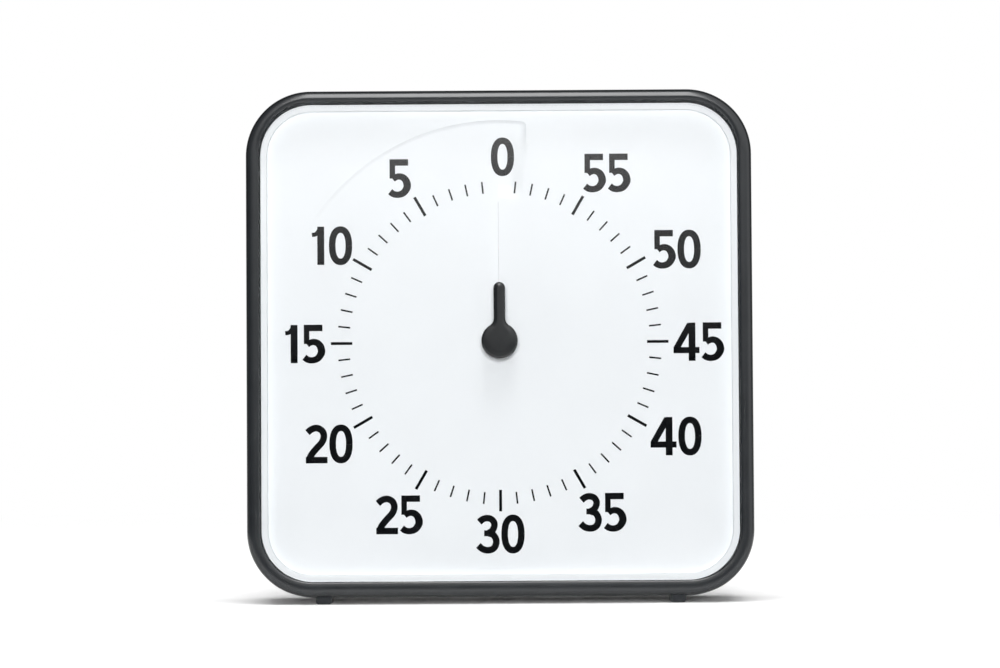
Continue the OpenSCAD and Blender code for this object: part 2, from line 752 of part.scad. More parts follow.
module stator() color("#8C9094") upright() translate([0, 0, stator_z]) linear_extrude(stator_t)
    difference() {
        union() {
            translate(rotor_at) circle(magnet_r + 2.2);
            translate([rotor_at[0], rotor_at[1] - 1.6]) square([25.5 - rotor_at[0], 3.2]);
            translate([22.7, -19]) square([2.8, 19 + rotor_at[1]]);
            translate([coil_x - 1.2, -19]) square([25.5 - coil_x, 2.4]);
            translate([coil_x - 1.2, -19]) square([2.4, 18 + rotor_at[1]]);
        }
        translate(rotor_at) circle(magnet_r + 0.5);
    }

// Bobbin on the stator's long leg, two flanges and a sleeve
module coil_bobbin() color("#D9D2C0") upright()
    translate([coil_x, coil_low, stator_z + stator_t / 2]) rotate([-90, 0, 0]) difference() {
        union() {
            cylinder(r = coil_r, h = 1);
            translate([0, 0, coil_high - coil_low - 1]) cylinder(r = coil_r, h = 1);
            cylinder(r = 1.9, h = coil_high - coil_low);
        }
        translate([-1.25, -0.45, -1]) cube([2.5, 0.9, coil_high - coil_low + 2]);
    }

module coil_winding() color("#B06A35") upright()
    translate([coil_x, coil_low + 1.1, stator_z + stator_t / 2]) rotate([-90, 0, 0]) difference() {
        cylinder(r = coil_r - 0.5, h = coil_high - coil_low - 2.2);
        translate([0, 0, -1]) cylinder(r = 1.95, h = coil_high - coil_low);
    }

module circuit_board() color("#1F6B3A") upright()
    translate([board_at[0] - board_size[0] / 2, board_at[1] - board_size[1] / 2, board_z])
        cube([board_size[0], board_size[1], board_t]);

module timer_chip() color(black_abs) upright()
    translate([board_at[0], board_at[1], board_z + board_t]) cylinder(r = 3, h = 1.2);

module quartz_crystal() color(steel) upright()
    translate([board_at[0] - 12, board_at[1] + 1.5, board_z + board_t + 1]) rotate([0, 90, 0])
        cylinder(r = 1, h = 6);

// ---- Alert, switch and battery ----

module buzzer() color(black_abs) upright()
    translate([buzzer_at[0], buzzer_at[1], back_inner_z + 0.3]) difference() {
        cylinder(r = buzzer_r, h = 3);
        translate([0, 0, -1]) cylinder(r = 1.5, h = 2);
    }

module switch_body() color(black_abs) upright()
    translate([switch_at[0], switch_at[1], back_inner_z]) difference() {
        translate([-8, -4, 0]) cube([16, 8, 5]);
        translate([0, 0, 1]) cube([switch_cap[0] + switch_travel + 0.4, switch_cap[1] + 0.4, 3], center = true);
    }

// The slider is stored at the left end of its travel
module alert_switch() color("#E8EAEB") upright()
    translate([switch_at[0] - (switch_cap[0] + switch_travel) / 2, switch_at[1] - switch_cap[1] / 2,
        back_z - 0.8]) difference() {
            cube([switch_cap[0], switch_cap[1], wall_t + 2.6]);
            for (k = [1:3]) translate([k * switch_cap[0] / 4 - 0.3, -1, -1])
                cube([0.6, switch_cap[1] + 2, 1.35]);
        }

module battery() color("#B98A3E") upright()
    translate([-cell_length / 2 + 0.4, cell_at[0], cell_at[1]]) rotate([0, 90, 0]) {
        cylinder(d = cell_d, h = cell_length - 1.2);
        cylinder(d = 5.5, h = cell_length);
    }

// Tag in the bay's end, with a solder tail that goes out through the bay's wall
module contact_tag(x) {
    translate([x, cell_at[0] - 6, cell_at[1] - 5]) cube([0.4, 13, 10]);
    translate([x, cell_at[0] + 6, cell_at[1] - 0.6]) cube([0.4, 5, 2]);
}

// Coil spring with its tag: a round wire carried along a tapering screw line
module battery_spring() color(steel) upright() {
    turns = 3;
    steps = 20 * turns;
    sides = 8;
    wire_r = 0.35;
    reach = 2.5;
    wound = function (i, k)
        let (
            turn = 360 * turns * i / steps,
            r = mix(4.2, 2.4, i / steps) + wire_r * cos(360 * k / sides),
            h = wire_r - 0.05 + reach * i / steps + wire_r * sin(360 * k / sides)
        )
        [h, r * cos(turn), r * sin(turn)];
    contact_tag(-bay_size[0] / 2 + 0.1);
    translate([-bay_size[0] / 2 + 0.5, cell_at[0], cell_at[1]]) polyhedron(
        points = [for (i = [0:steps], k = [0:sides - 1]) wound(i, k)],
        faces = tube_faces(steps + 1, sides)
    );
}

module battery_contact() color(steel) upright() {
    contact_tag(bay_size[0] / 2 - 0.5);
    translate([bay_size[0] / 2 - 2.9, cell_at[0], cell_at[1]]) rotate([0, 90, 0]) cylinder(r = 2, h = 2.5);
}

// The door turns on two pins at the ends of its round lower edge
module battery_door() color(charcoal) upright() difference() {
    union() {
        translate([-door_size[0] / 2, door_axis[0], back_z])
            cube([door_size[0], door_size[1] - door_t / 2, door_t]);
        translate([0, door_axis[0], door_axis[1]]) rotate([0, 90, 0]) {
            cylinder(r = door_t / 2, h = door_size[0], center = true);
            cylinder(r = door_pin_r, h = door_size[0] + 2, center = true);
        }
    }
    translate([0, cell_at[0] + door_size[1] / 2 - 3, back_z - 3.4]) rotate([-90, 0, 0])
        cylinder(r = 4, h = 4);
}

// Thin wire through a list of points: a ring of sides round each point, square to the run there
lead_sides = 8;
function unit(v) = v / norm(v);
function lead_ring(points, i) =
    let (
        last = len(points) - 1,
        along = unit(points[min(i + 1, last)] - points[max(i - 1, 0)]),
        across = unit(cross(along, [0.3, 0.2, 1])),
        up = cross(along, across)
    )
    [for (k = [0:lead_sides - 1])
        points[i] + lead_r * (across * cos(360 * k / lead_sides) + up * sin(360 * k / lead_sides))];

// Skin of a tube of rings, each ring joined to the next, with a flat cap at both ends
function tube_faces(rings, sides) = concat(
    [for (i = [0:rings - 2], k = [0:sides - 1])
        let (a = sides * i, b = sides * (i + 1), next = (k + 1) % sides)
        each [[a + k, b + next, b + k], [a + k, a + next, b + next]]],
    [[for (k = [sides - 1:-1:0]) k], [for (k = [0:sides - 1]) sides * (rings - 1) + k]]
);

module lead(points) {
    polyhedron(
        points = [for (i = [0:len(points) - 1]) each lead_ring(points, i)],
        faces = tube_faces(len(points), lead_sides)
    );
}

tail_y = cell_at[0] + 11 + lead_r;
board_lead_z = board_z + board_t + 0.8;

module red_lead() color("#C02020") upright() lead([
    [bay_size[0] / 2 - 0.3, tail_y, cell_at[1] + 0.4], [bay_size[0] / 2 - 0.3, -38, cell_at[1] + 0.4],
    [4, -34, board_lead_z], [4, -21, board_lead_z]
]);

module black_lead() color("#202020") upright() lead([
    [-bay_size[0] / 2 + 0.3, tail_y, cell_at[1] + 0.4], [-bay_size[0] / 2 + 0.3, -38, cell_at[1] + 0.4],
    [-10, -34, board_lead_z], [-10, -21.5, board_lead_z]
]);

module buzzer_leads() color("#C02020") upright() for (k = [0, 1]) lead([
    [buzzer_at[0] + 8, buzzer_at[1] - 3 * k, back_inner_z + 3.3 + lead_r],
    [buzzer_at[0] + 18, buzzer_at[1] - 3 * k, back_inner_z + 6],
    [-12 + 3 * k, 38, back_inner_z + 6 + 2 * k],
    [switch_at[0] - 14, switch_at[1] + 6 - 3 * k, back_inner_z + 6 + k],
    [switch_at[0] - 6 + 3 * k, switch_at[1] + 1 - 2 * k, back_inner_z + 5 + lead_r]
]);

// ---- Feet ----

// A foot seen from the front, with its two lower edges rounded
module foot_outline() {
    translate([-foot_w / 2, foot_edge_r - foot_h]) square([foot_w, foot_h - foot_edge_r]);
    translate([foot_edge_r - foot_w / 2, -foot_h]) square([foot_w - 2 * foot_edge_r, foot_h]);
    for (x = [-1, 1]) translate([x * (foot_w / 2 - foot_edge_r), foot_edge_r - foot_h]) circle(foot_edge_r);
}

// Wedge under the front of the case, cut level with the table, with a peg that is pushed into the rim
module foot(side) difference() {
    upright() translate([side * foot_x, case_bottom, 0]) {
        translate([0, 0, foot_front_z - foot_length]) linear_extrude(foot_length) foot_outline();
        translate([0, -0.5, foot_peg_z]) rotate([-90, 0, 0])
            cylinder(r = foot_peg_r, h = foot_peg_length + 0.5);
    }
    translate([-case_size, -case_size, -20]) cube([2 * case_size, 2 * case_size, 20]);
}

module left_foot() color(charcoal) foot(-1);

module right_foot() color(charcoal) foot(1);

front_bezel();
rear_cover();
lens();
dial_plate();
red_disc();
disc_hub();
knob();
centre_shaft();
chassis();
chassis_screws();
movement_front();
movement_rear();
mounting_nut();
nut_washer();
centre_wheel();
clutch_spring();
shaft_clip();
third_wheel();
second_wheel();
intermediate_wheel();
rotor_pinion();
rotor_magnet();
stator();
coil_bobbin();
coil_winding();
circuit_board();
timer_chip();
quartz_crystal();
buzzer();
switch_body();
alert_switch();
battery();
battery_spring();
battery_contact();
battery_door();
red_lead();
black_lead();
buzzer_leads();
left_foot();
right_foot();
case_screws();
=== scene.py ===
"""Visual countdown timer: its visible pieces, finishes and studio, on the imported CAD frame."""

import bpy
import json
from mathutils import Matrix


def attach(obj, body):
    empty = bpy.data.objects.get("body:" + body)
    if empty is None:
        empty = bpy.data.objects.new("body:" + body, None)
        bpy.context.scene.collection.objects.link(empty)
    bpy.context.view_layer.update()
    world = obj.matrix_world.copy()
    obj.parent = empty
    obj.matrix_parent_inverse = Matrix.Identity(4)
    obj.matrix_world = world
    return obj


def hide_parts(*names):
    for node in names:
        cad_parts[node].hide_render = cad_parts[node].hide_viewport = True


bl_info = {
    "name": "Visual Countdown Timer",
    "version": (1, 0, 0),
    "blender": (4, 5, 0),
    "location": "3D Viewport > Sidebar > Timer",
    "description": "Builds the visible pieces, finishes and studio of a countdown timer",
    "category": "Add Mesh",
}

import json
import math
from functools import partial

import bmesh
import bpy
import numpy as np
from bpy.props import FloatProperty, FloatVectorProperty, PointerProperty
from mathutils import Matrix

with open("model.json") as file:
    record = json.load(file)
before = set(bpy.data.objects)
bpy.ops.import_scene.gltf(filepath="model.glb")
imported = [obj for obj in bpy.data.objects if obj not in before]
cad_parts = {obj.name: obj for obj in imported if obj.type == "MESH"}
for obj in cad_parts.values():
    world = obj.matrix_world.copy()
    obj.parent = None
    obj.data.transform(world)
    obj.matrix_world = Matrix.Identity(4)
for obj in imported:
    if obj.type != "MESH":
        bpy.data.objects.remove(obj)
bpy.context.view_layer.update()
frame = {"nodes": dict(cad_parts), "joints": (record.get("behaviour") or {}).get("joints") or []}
joints = {j["name"]: j for j in frame["joints"]}

# Lengths in millimetres. Heights run forwards from the dial's datum, insets inwards from the case's
# side.
LOW_Z = -15.0  # back of the case
FRONT_Z = 27.0  # foremost face of the rim
LEDGE_Z, LEDGE_TOP_Z, LEDGE_INSET = 8.7, 10.7, 9.5  # ledge that the dial stands on
BACK_INNER_Z = -12.6  # inner face of the rear cover
HALF_STRAIGHT, HALF_SIZE, CORNER_R = 70.75, 95.25, 24.5  # the case's outline
CASE_DROP = 0.7  # by which the outline lies lower than the dial's centre
WALL = 2.4
CROWN_TILT = 9.0  # degrees by which the rim's front leans at its edges
CASE_SCREW, CHASSIS_SCREW = (81.5, 81.5), (88.5, 20.0)  # places of the screws, in each quarter
LENS_BACK_Z, LENS_FRONT_Z = 16.0, 17.5
STEM_HOLE_R = 3.6  # hole in the lens for the knob's stem
TOP_TAB, BOTTOM_TAB = 7.5, 3.8  # half the widths of the lens's snap tabs
SLOT_PLAY = 0.3
DIAL_Z = 12.5
DIAL_EDGE_INSET, DIAL_UNDERSIDE = 5.0, -1.8  # side of the dial's raised edge, and its underside
DISC_ZONE_R, SLIT_END_R = 54.2, 60.3
SLIT_HALF, SLIT_LIP = 0.25, 0.2  # half the slit's width, and the lip that hides it
STEP_RUN = 0.2  # width of the recess's outer edge
RECESS_FADE = 62  # degrees to the left of 12 o'clock at which the recess ends
RECESS_CORNER = 1.6
CREASE = 0.2  # distance of the ring that keeps the recess's outer edge crisp
# Width of the hollow at the foot of the recess's outer edge and of its right wall, and how sharply
# each curves up
ARC_HOLLOW = (1.3, 1.7)
WALL_HOLLOW = (3.0, 2.6)
INK_LIFT = 0.03
TICK, LONG_TICK = (56.9, 61.4), (55.8, 63.9)  # radii at which the marks begin and end
BOLD = 1.05  # factor on the digits' strokes, as the ink spreads a little
DIGIT_GAP, GAP_AFTER_1 = 52, 130  # in thousandths of the numeral's height
DISC_INNER_R, DISC_OUTER_R, DISC_THICK = 4.3, 53.6, 0.4
DISC_CUT_HALF = 0.6  # half the width of the cut along the disc's radius
DISC_GAP = 0.15  # between the disc and the dial's skin over it
KNOB_BACK_Z, KNOB_FRONT_Z, KNOB_CROWN = 18.1, 26.4, 0.15
STEM_BACK_Z, STEM_R = 11.0, 3.0
BORE_END_Z, BORE_R = 22.9, 2.02  # blind bore for the shaft

KEY_ENERGY = 4.5
FILL_ENERGY = 54.5
FLOOR_ENERGY = 30.0
STRIP_ENERGY = 20.0
ROOM_LEVEL = 0.05  # brightness of the room as light, in front of the object
BACK_LEVEL = 0.5  # and behind it
CAMERA_ANGLES = (-3.338, 0.116, -0.357)  # degrees up, right and rolled, from the dial's normal
CAMERA_TARGET = (0.191, 2.356, 27.0)
CAMERA_DISTANCE = 2016.6
CAMERA_LENS = 193.17


# ---- Sizes and colours that a user would change ----


def length(name, description, *limits):
    """A length property in metres. Its default, least and greatest values are in millimetres."""
    default, low, high = (value / 1000 for value in limits)
    values = {"default": default, "min": low, "max": high, "unit": "LENGTH", "precision": 5}
    return FloatProperty(name=name, description=description, **values)


def colour(name, description, hex_code):
    """A colour property, given as an sRGB hex code and kept as linear values."""
    values = {"default": linear(hex_code)[:3], "min": 0, "max": 1, "subtype": "COLOR"}
    return FloatVectorProperty(name=name, description=description, **values)


def linear(hex_code):
    """An sRGB hex code as linear red, green, blue and an alpha of 1."""
    srgb = [int(hex_code[i : i + 2], 16) / 255 for i in (1, 3, 5)]
    return (*[c / 12.92 if c <= 0.04045 else ((c + 0.055) / 1.055) ** 2.4 for c in srgb], 1.0)


class TimerCaseSizes(bpy.types.PropertyGroup):
    rim_width: length("Rim width", "Width of the frame seen from the front", 4.85, 4.8, 5.4)
    outer_round: length("Outer round", "Radius of the rim's outer edge", 2.2, 0.6, 2.8)
    inner_round: length("Inner round", "Radius of the rim's inner edge", 0.5, 0.3, 1.6)
    back_round: length("Back round", "Radius of the case's rear edge", 1.8, 0.6, 2.2)
    lens_inset: length("Lens inset", "From the case's side to the lens's edge", 5.0, 4.95, 5.6)


class TimerDialSizes(bpy.types.PropertyGroup):
    pitch: length("Disc pitch", "Rise of the dial's screw surface in one turn", 1.5, 1.2, 2.0)
    skin: length("Skin", "Thickness of the dial over the disc", 0.8, 0.6, 1.0)
    recess: length("Recess radius", "Radius of the shallow recess", 84.4, 80.0, 84.6)
    recess_right: length("Recess right", "From the axis to the right wall", 10.6, 7.0, 12.0)
    rim_inset: length("Rim inset", "From the case's side to the raised edge", 7.4, 7.0, 8.0)
    numeral: length("Numeral height", "Height of the numbers", 14.5, 12.0, 16.0)
    tick_width: length("Tick width", "Width of a minute mark", 0.62, 0.3, 1.0)
    long_tick_width: length("Long tick width", "Width of a five-minute mark", 1.08, 0.6, 1.5)


class TimerKnobSizes(bpy.types.PropertyGroup):
    boss: length("Boss radius", "Radius of the knob's round part", 6.84, 6.0, 9.0)
    lever: length("Lever width", "Width of the knob's pointer", 4.4, 3.0, 6.0)
    reach: length("Lever reach", "From the axis to the pointer's tip", 22.1, 18.0, 26.0)
    edge: length("Edge round", "Radius of the knob's front edge", 1.0, 0.3, 1.4)


class TimerFinishes(bpy.types.PropertyGroup):
    frame: colour("Frame", "Moulded ABS of the case", "#222528")
    dial: colour("Dial", "Moulded ABS of the dial", "#F4F8FB")
    ink: colour("Ink", "Screen-printed marks and numbers", "#0A0C0E")
    knob: colour("Knob", "Moulded ABS of the knob", "#111416")
    disc: colour("Disc", "Film of the time disc", "#D8232A")


# ---- Mesh tools ----


def dial_axes():
    """Origin and the three directions of the dial in metres: right, up, and out to the viewer.
    They come from the knob's joint, whose axis points out of the dial."""
    knob = joints["knob_turn"]
    out = np.array(knob["axis"], float)
    out /= np.linalg.norm(out)
    right = np.array([1.0, 0.0, 0.0])
    return np.array(knob["pos_m"], float), np.stack([right, np.cross(out, right), out])


def placed(points):
    """Points given in millimetres right, up and out from the dial's centre, in the row frame."""
    origin, axes = dial_axes()
    return origin + np.asarray(points, float).reshape(-1, 3) @ axes / 1000


def mm(value):
    return value * 1000


def rise(x, low, high):
    """Smooth step from 0 at low to 1 at high."""
    t = np.clip((x - low) / (high - low), 0, 1)
    return t * t * (3 - 2 * t)


def mix(a, b, t):
    return a + (b - a) * t


def circle(radius, angle):
    return np.stack([radius * np.cos(angle), radius * np.sin(angle)], -1)


def grid_faces(rows, columns, close_rows=False, close_columns=False):
    """Four-sided faces between neighbours of a grid whose points are stored row by row."""
    r = np.arange(rows if close_rows else rows - 1)[:, None]
    c = np.arange(columns if close_columns else columns - 1)
    r, c = np.broadcast_arrays(r, c)
    r1, c1 = (r + 1) % rows, (c + 1) % columns
    corners = [r * columns + c, r * columns + c1, r1 * columns + c1, r1 * columns + c]
    return np.stack(corners, -1).reshape(-1, 4)


def loft(rings, closed):
    """A surface through rings of the same number of points, each ring closed on itself.
    closed joins the last ring to the first, which makes the section a loop."""
    rings = np.asarray(rings, float)
    return rings.reshape(-1, 3), grid_faces(len(rings), rings.shape[1], closed, True)


def slit_faces(count, columns, rows):
    """Faces of a looped grid of count rings whose first and last columns are closed by strips,
    between its first rows and the last ones, which lie under them."""
    k = np.arange(rows - 1)
    under = count - 1 - k
    strip = np.stack([k, k + 1, under - 1, under], -1) * columns
    return np.concatenate([grid_faces(count, columns, True), strip, strip + columns - 1])


def turned(profile, centre, columns=48):
    """A closed profile of (radius, height) points turned round an axis through centre."""
    profile = np.asarray(profile, float)
    angle = np.linspace(0, 2 * math.pi, columns, endpoint=False)
    x = centre[0] + profile[:, :1] * np.cos(angle)
    y = centre[1] + profile[:, :1] * np.sin(angle)
    z = np.broadcast_to(profile[:, 1:], x.shape)
    return loft(np.stack([x, y, z], -1), True)


def make_piece(name, parts, body, material, replaces=(), solid=True, sharp=32):
    """One object from surfaces given as (points in millimetres, faces), which may be closed shells.
    Coinciding points are merged, and faces are turned outwards."""
    mesh = bpy.data.meshes.new(name)
    points, faces, start = [], [], 0
    for part_points, part_faces in parts:
        points.append(placed(part_points))
        faces += (np.asarray(part_faces) + start).tolist()
        start += len(points[-1])
    mesh.from_pydata(np.concatenate(points).tolist(), [], faces)
    shape = bmesh.new()
    shape.from_mesh(mesh)
    bmesh.ops.remove_doubles(shape, verts=shape.verts, dist=2e-6)
    bmesh.ops.dissolve_degenerate(shape, edges=shape.edges, dist=1e-7)
    if solid:
        bmesh.ops.recalc_face_normals(shape, faces=shape.faces)
    shape.to_mesh(mesh)
    shape.free()
    mesh.polygons.foreach_set("use_smooth", np.ones(len(mesh.polygons), bool))
    mesh.set_sharp_from_angle(angle=math.radians(sharp))
    mesh.materials.append(material)
    piece = bpy.data.objects.new(name, mesh)
    bpy.context.scene.collection.objects.link(piece)
    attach(piece, body)
    if replaces:
        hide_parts(*replaces)
    return piece


# ---- Node tools ----


RANGE = ("From Min", "From Max", "To Min", "To Max")
WHITE = (1.0, 1.0, 1.0, 1.0)


def add_node(tree, kind, values=None, links=None, stops=(), **settings):
    """Adds a node: settings are its own properties, values its inputs' values, links its inputs'
    sources as (node, output), and stops the (position, colour) pairs of a colour ramp."""
    node = tree.nodes.new("ShaderNode" + kind)
    for key, value in settings.items():
        setattr(node, key, value)
    for _ in stops[2:]:
        node.color_ramp.elements.new(0.5)
    for number, (position, shade) in enumerate(stops):
        node.color_ramp.elements[number].position = position
        node.color_ramp.elements[number].color = shade
    for key, value in (values or {}).items():
        node.inputs[key].default_value = value
    for key, (source, output) in (links or {}).items():
        tree.links.new(source.outputs[output], node.inputs[key])
    return node


def emptied(holder):
    """Clears the node tree of a new material or world. Returns add_node for that tree."""
    holder.use_nodes = True
    holder.node_tree.nodes.clear()
    return partial(add_node, holder.node_tree)


def surface_material(name, inputs, cover=None):
    """The material of that name, with one Principled shader. When it is first wanted, inputs gets
    add_node for its tree and the object's coordinates, and returns the shader's values and links.
    cover may lay more over the shader."""
    material = bpy.data.materials.get(name)
    if material:
        return material
    material = bpy.data.materials.new(name)
    add = emptied(material)
    result = (add("BsdfPrincipled", *inputs(add, (add("TexCoord"), "Object"))), "BSDF")
    if cover:
        result = cover(add, result)
    add("OutputMaterial", links={"Surface": result})
    return material


def scaled(shade, factor):
    """A linear colour made lighter or darker by a factor."""
    return (*[min(1.0, c * factor) for c in tuple(shade)[:3]], 1.0)


def grained(name, base, roughness, grain, depth, ior, spread=0.06, mottle=9.0, extra=None):
    """Moulded or coated surface: base colour, roughness, grain spacing and depth in millimetres. A
    slow mottle shifts colour and roughness a little, as flow and handling do on a real part, and
    the fine grain of the mould's wall lifts the surface by depth."""

    def inputs(add, place):
        noise = {"Scale": 1000 / mottle, "Detail": 3.0, "Roughness": 0.5}
        slow = add("TexNoise", noise, {"Vector": place})
        noise = {"Scale": 1000 / grain, "Detail": 2.0, "Roughness": 0.6}
        fine = add("TexNoise", noise, {"Vector": place})
        stops = [(0.3, scaled(base, 1 - spread)), (0.7, scaled(base, 1 + spread))]
        shade = add("ValToRGB", links={"Fac": (slow, "Fac")}, stops=stops)
        limits = dict(zip(RANGE, (0.25, 0.75, roughness * 0.88, roughness * 1.12)))
        rough = add("MapRange", limits, {"Value": (slow, "Fac")})
        bump = add("Bump", {"Strength": 1.0, "Distance": depth / 1000}, {"Height": (fine, "Fac")})
        values = {"IOR": ior, "Base Color": scaled(base, 1), "Roughness": roughness}
        links = {"Base Color": (shade, "Color"), "Roughness": (rough, "Result")}
        return {**values, **(extra or {})}, {**links, "Normal": (bump, "Normal")}

    return surface_material(name, inputs)


def brushed(name, base, roughness, line, stretch=(0.08, 1.0, 1.0)):
    """Bare metal. Its drawing or turning lines are line millimetres apart, drawn out by stretch."""

    def inputs(add, place):
        drawn = add("Mapping", {"Scale": stretch}, {"Vector": place})
        noise = {"Scale": 1000 / line, "Detail": 4.0, "Roughness": 0.6}
        lines = add("TexNoise", noise, {"Vector": (drawn, "Vector")})
        stops = [(0.3, scaled(base, 0.86)), (0.7, scaled(base, 1.06))]
        shade = add("ValToRGB", links={"Fac": (lines, "Fac")}, stops=stops)
        limits = dict(zip(RANGE, (0.3, 0.7, roughness * 0.75, roughness * 1.3)))
        rough = add("MapRange", limits, {"Value": (lines, "Fac")})
        values = {"Metallic": 1.0, "Base Color": scaled(base, 1), "Roughness": roughness}
        return values, {"Base Color": (shade, "Color"), "Roughness": (rough, "Result")}

    return surface_material(name, inputs)


def finishes():
    """The colours that a user can change."""
    return bpy.context.scene.timer_finishes


def charcoal_abs():
    # ABS moulded against a fine spark-eroded wall: an even satin with soft, wide highlights.
    # The real grain is about 0.1 mm, drawn at 0.4 mm so that it shows.
    return grained("moulded_abs_charcoal", finishes().frame, 0.2, 0.4, 0.001, 1.53)


def matt_abs():
    # The same ABS against an etched wall of the mould: it keeps the dial's mirror image out.
    extra, base = {"Specular IOR Level": 0.1}, finishes().frame
    return grained("moulded_abs_charcoal_matt", base, 0.7, 0.4, 0.004, 1.53, extra=extra)


def white_abs():
    # White ABS, matt, so that the disc's colour and the marks read without glare.
    return grained("moulded_abs_white", finishes().dial, 0.42, 0.5, 0.0006, 1.53, 0.012, 24.0)


def screen_ink():
    # Black screen ink: slightly duller than the plastic, with a mesh-like unevenness of 0.3 mm.
    extra = {"Specular IOR Level": 0.05}
    return grained("screen_printed_ink", finishes().ink, 0.35, 0.3, 0.001, 1.5, 0.1, 3.0, extra)


def knob_abs():
    # ABS from a polished mould: darker and a little glossier than the frame.
    return grained("moulded_abs_knob", finishes().knob, 0.25, 0.5, 0.001, 1.5, 0.05)


def disc_film():
    # Calendered polyester film, glossy and evenly coloured, with a faint rolling line.
    return grained("calendered_film_red", finishes().disc, 0.25, 2.0, 0.002, 1.6, 0.04, 14.0)


def black_abs():
    # Unpolished black ABS of the parts inside.
    return grained("moulded_abs_black", linear("#1C1D1F"), 0.45, 0.5, 0.004, 1.53)


def pale_abs():
    # Light grey ABS of the switch's cap.
    return grained("moulded_abs_pale", linear("#E4E6E7"), 0.4, 0.5, 0.003, 1.53, 0.02)


def acetal():
    # Natural acetal: waxy and cream white, with a little light passing under its surface.
    extra = {"Subsurface Weight": 0.15, "Subsurface Radius": (0.0008, 0.0006, 0.0004)}
    return grained("moulded_acetal", linear("#E9E4D4"), 0.35, 0.8, 0.002, 1.48, 0.03, 5.0, extra)


def ferrite():
    # Sintered ferrite of the rotor's magnet: dark grey, matt, with a visible powder grain.
    return grained("sintered_ferrite", linear("#2B2D30"), 0.6, 0.2, 0.01, 2.2, 0.15, 1.0)


def wire_skin(name, hex_code):
    # PVC insulation of the leads: soft gloss with slight unevenness from extrusion.
    return grained(name, linear(hex_code), 0.35, 0.6, 0.003, 1.53, 0.05)


def steel():
    # Zinc plate over drawn steel: bright grey with fine lines along the part.
    return brushed("zinc_plated_steel", linear("#B4B8BC"), 0.3, 0.3)


def brass():
    # Turned brass: warm yellow, with rings from the tool.
    return brushed("turned_brass", linear("#D3B15F"), 0.25, 0.2, (1.0, 1.0, 0.08))


def copper_wire():
    """Turns of 0.08 mm wire, drawn at 0.4 mm so that they show, under clear enamel. Their roundness
    is painted: painted shade in dark brown between the turns, painted light in copper on their
    tops.
    """

    def inputs(add, place):
        wave = {"Scale": 1000 / 0.4 / 6.2832, "Distortion": 0.6, "Detail": 1.0}
        turns = add("TexWave", wave, {"Vector": place}, bands_direction="Z")
        # Painted shade and light: each band runs from dark brown where two turns meet to bright
        # copper on a turn's top
        stops = [(0.1, linear("#7A4120")), (0.8, linear("#C9793F"))]
        shade = add("ValToRGB", links={"Fac": (turns, "Fac")}, stops=stops)
        values = {"Metallic": 1.0, "Roughness": 0.3, "Coat Weight": 0.6, "Coat Roughness": 0.1}
        return values, {"Base Color": (shade, "Color")}

    return surface_material("enamelled_copper_wire", inputs)


def circuit_laminate():
    """Green solder mask over woven glass; the cloth's 0.5 mm weave shows through as squares."""

    def inputs(add, place):
        squares = {"Color1": linear("#1B6338"), "Color2": linear("#20703F"), "Scale": 1000 / 0.5}
        weave = add("TexChecker", squares, {"Vector": place})
        values = {"IOR": 1.55, "Roughness": 0.28, "Coat Weight": 0.3}
        return values, {"Base Color": (weave, "Color")}

    return surface_material("epoxy_glass_laminate", inputs)


def cell_jacket():
    """Shrunk sleeve of a cell: black, with a copper-coloured end towards its button."""

    def inputs(add, place):
        apart = add("SeparateXYZ", links={"Vector": place})
        share = add("MapRange", {"From Min": -0.025, "From Max": 0.025}, {"Value": (apart, "X")})
        black, copper = linear("#1D1D1E"), linear("#B3703A")
        stops = [(0.0, black), (0.68, black), (0.7, copper)]
        shade = add("ValToRGB", links={"Fac": (share, "Result")}, stops=stops)
        values = {"IOR": 1.55, "Roughness": 0.2, "Coat Weight": 0.5}
        return values, {"Base Color": (shade, "Color")}

    return surface_material("printed_cell_jacket", inputs)


def clear_acrylic():
    """Polished acrylic. Lamps and the light from what lies under it pass straight through, so that
    the dial isn't left in its shadow, and the faces still mirror the room."""

    def inputs(add, place):
        waves = add("TexNoise", {"Scale": 1000 / 30, "Detail": 1.0}, {"Vector": place})
        limits = dict(zip(RANGE, (0.3, 0.7, 0.0, 0.03)))
        rough = add("MapRange", limits, {"Value": (waves, "Fac")})
        values = {"Base Color": WHITE, "IOR": 1.49, "Transmission Weight": 1.0}
        return values, {"Roughness": (rough, "Result")}

    def cover(add, shader):
        path = add("LightPath")
        links = {0: (path, "Is Shadow Ray"), 1: (path, "Is Diffuse Ray")}
        passes = add("Math", links=links, operation="MAXIMUM")
        links = {0: (passes, "Value"), 1: shader, 2: (add("BsdfTransparent"), "BSDF")}
        return add("MixShader", links=links), "Shader"

    return surface_material("cast_acrylic_clear", inputs, cover)


NODE_FINISHES = {
    charcoal_abs: "front_bezel rear_cover battery_door left_foot right_foot",
    black_abs: "disc_hub chassis movement_front movement_rear timer_chip buzzer switch_body",
    steel: "centre_shaft chassis_screws nut_washer shaft_clip battery_spring battery_contact "
    "quartz_crystal case_screws stator",
    ferrite: "rotor_magnet",
    brass: "mounting_nut clutch_spring",
    acetal: "centre_wheel third_wheel second_wheel intermediate_wheel rotor_pinion coil_bobbin",
    copper_wire: "coil_winding",
    circuit_laminate: "circuit_board",
    pale_abs: "alert_switch",
    cell_jacket: "battery",
    clear_acrylic: "lens",
    white_abs: "dial_plate",
    disc_film: "red_disc",
    knob_abs: "knob",
}


# ---- Case ----


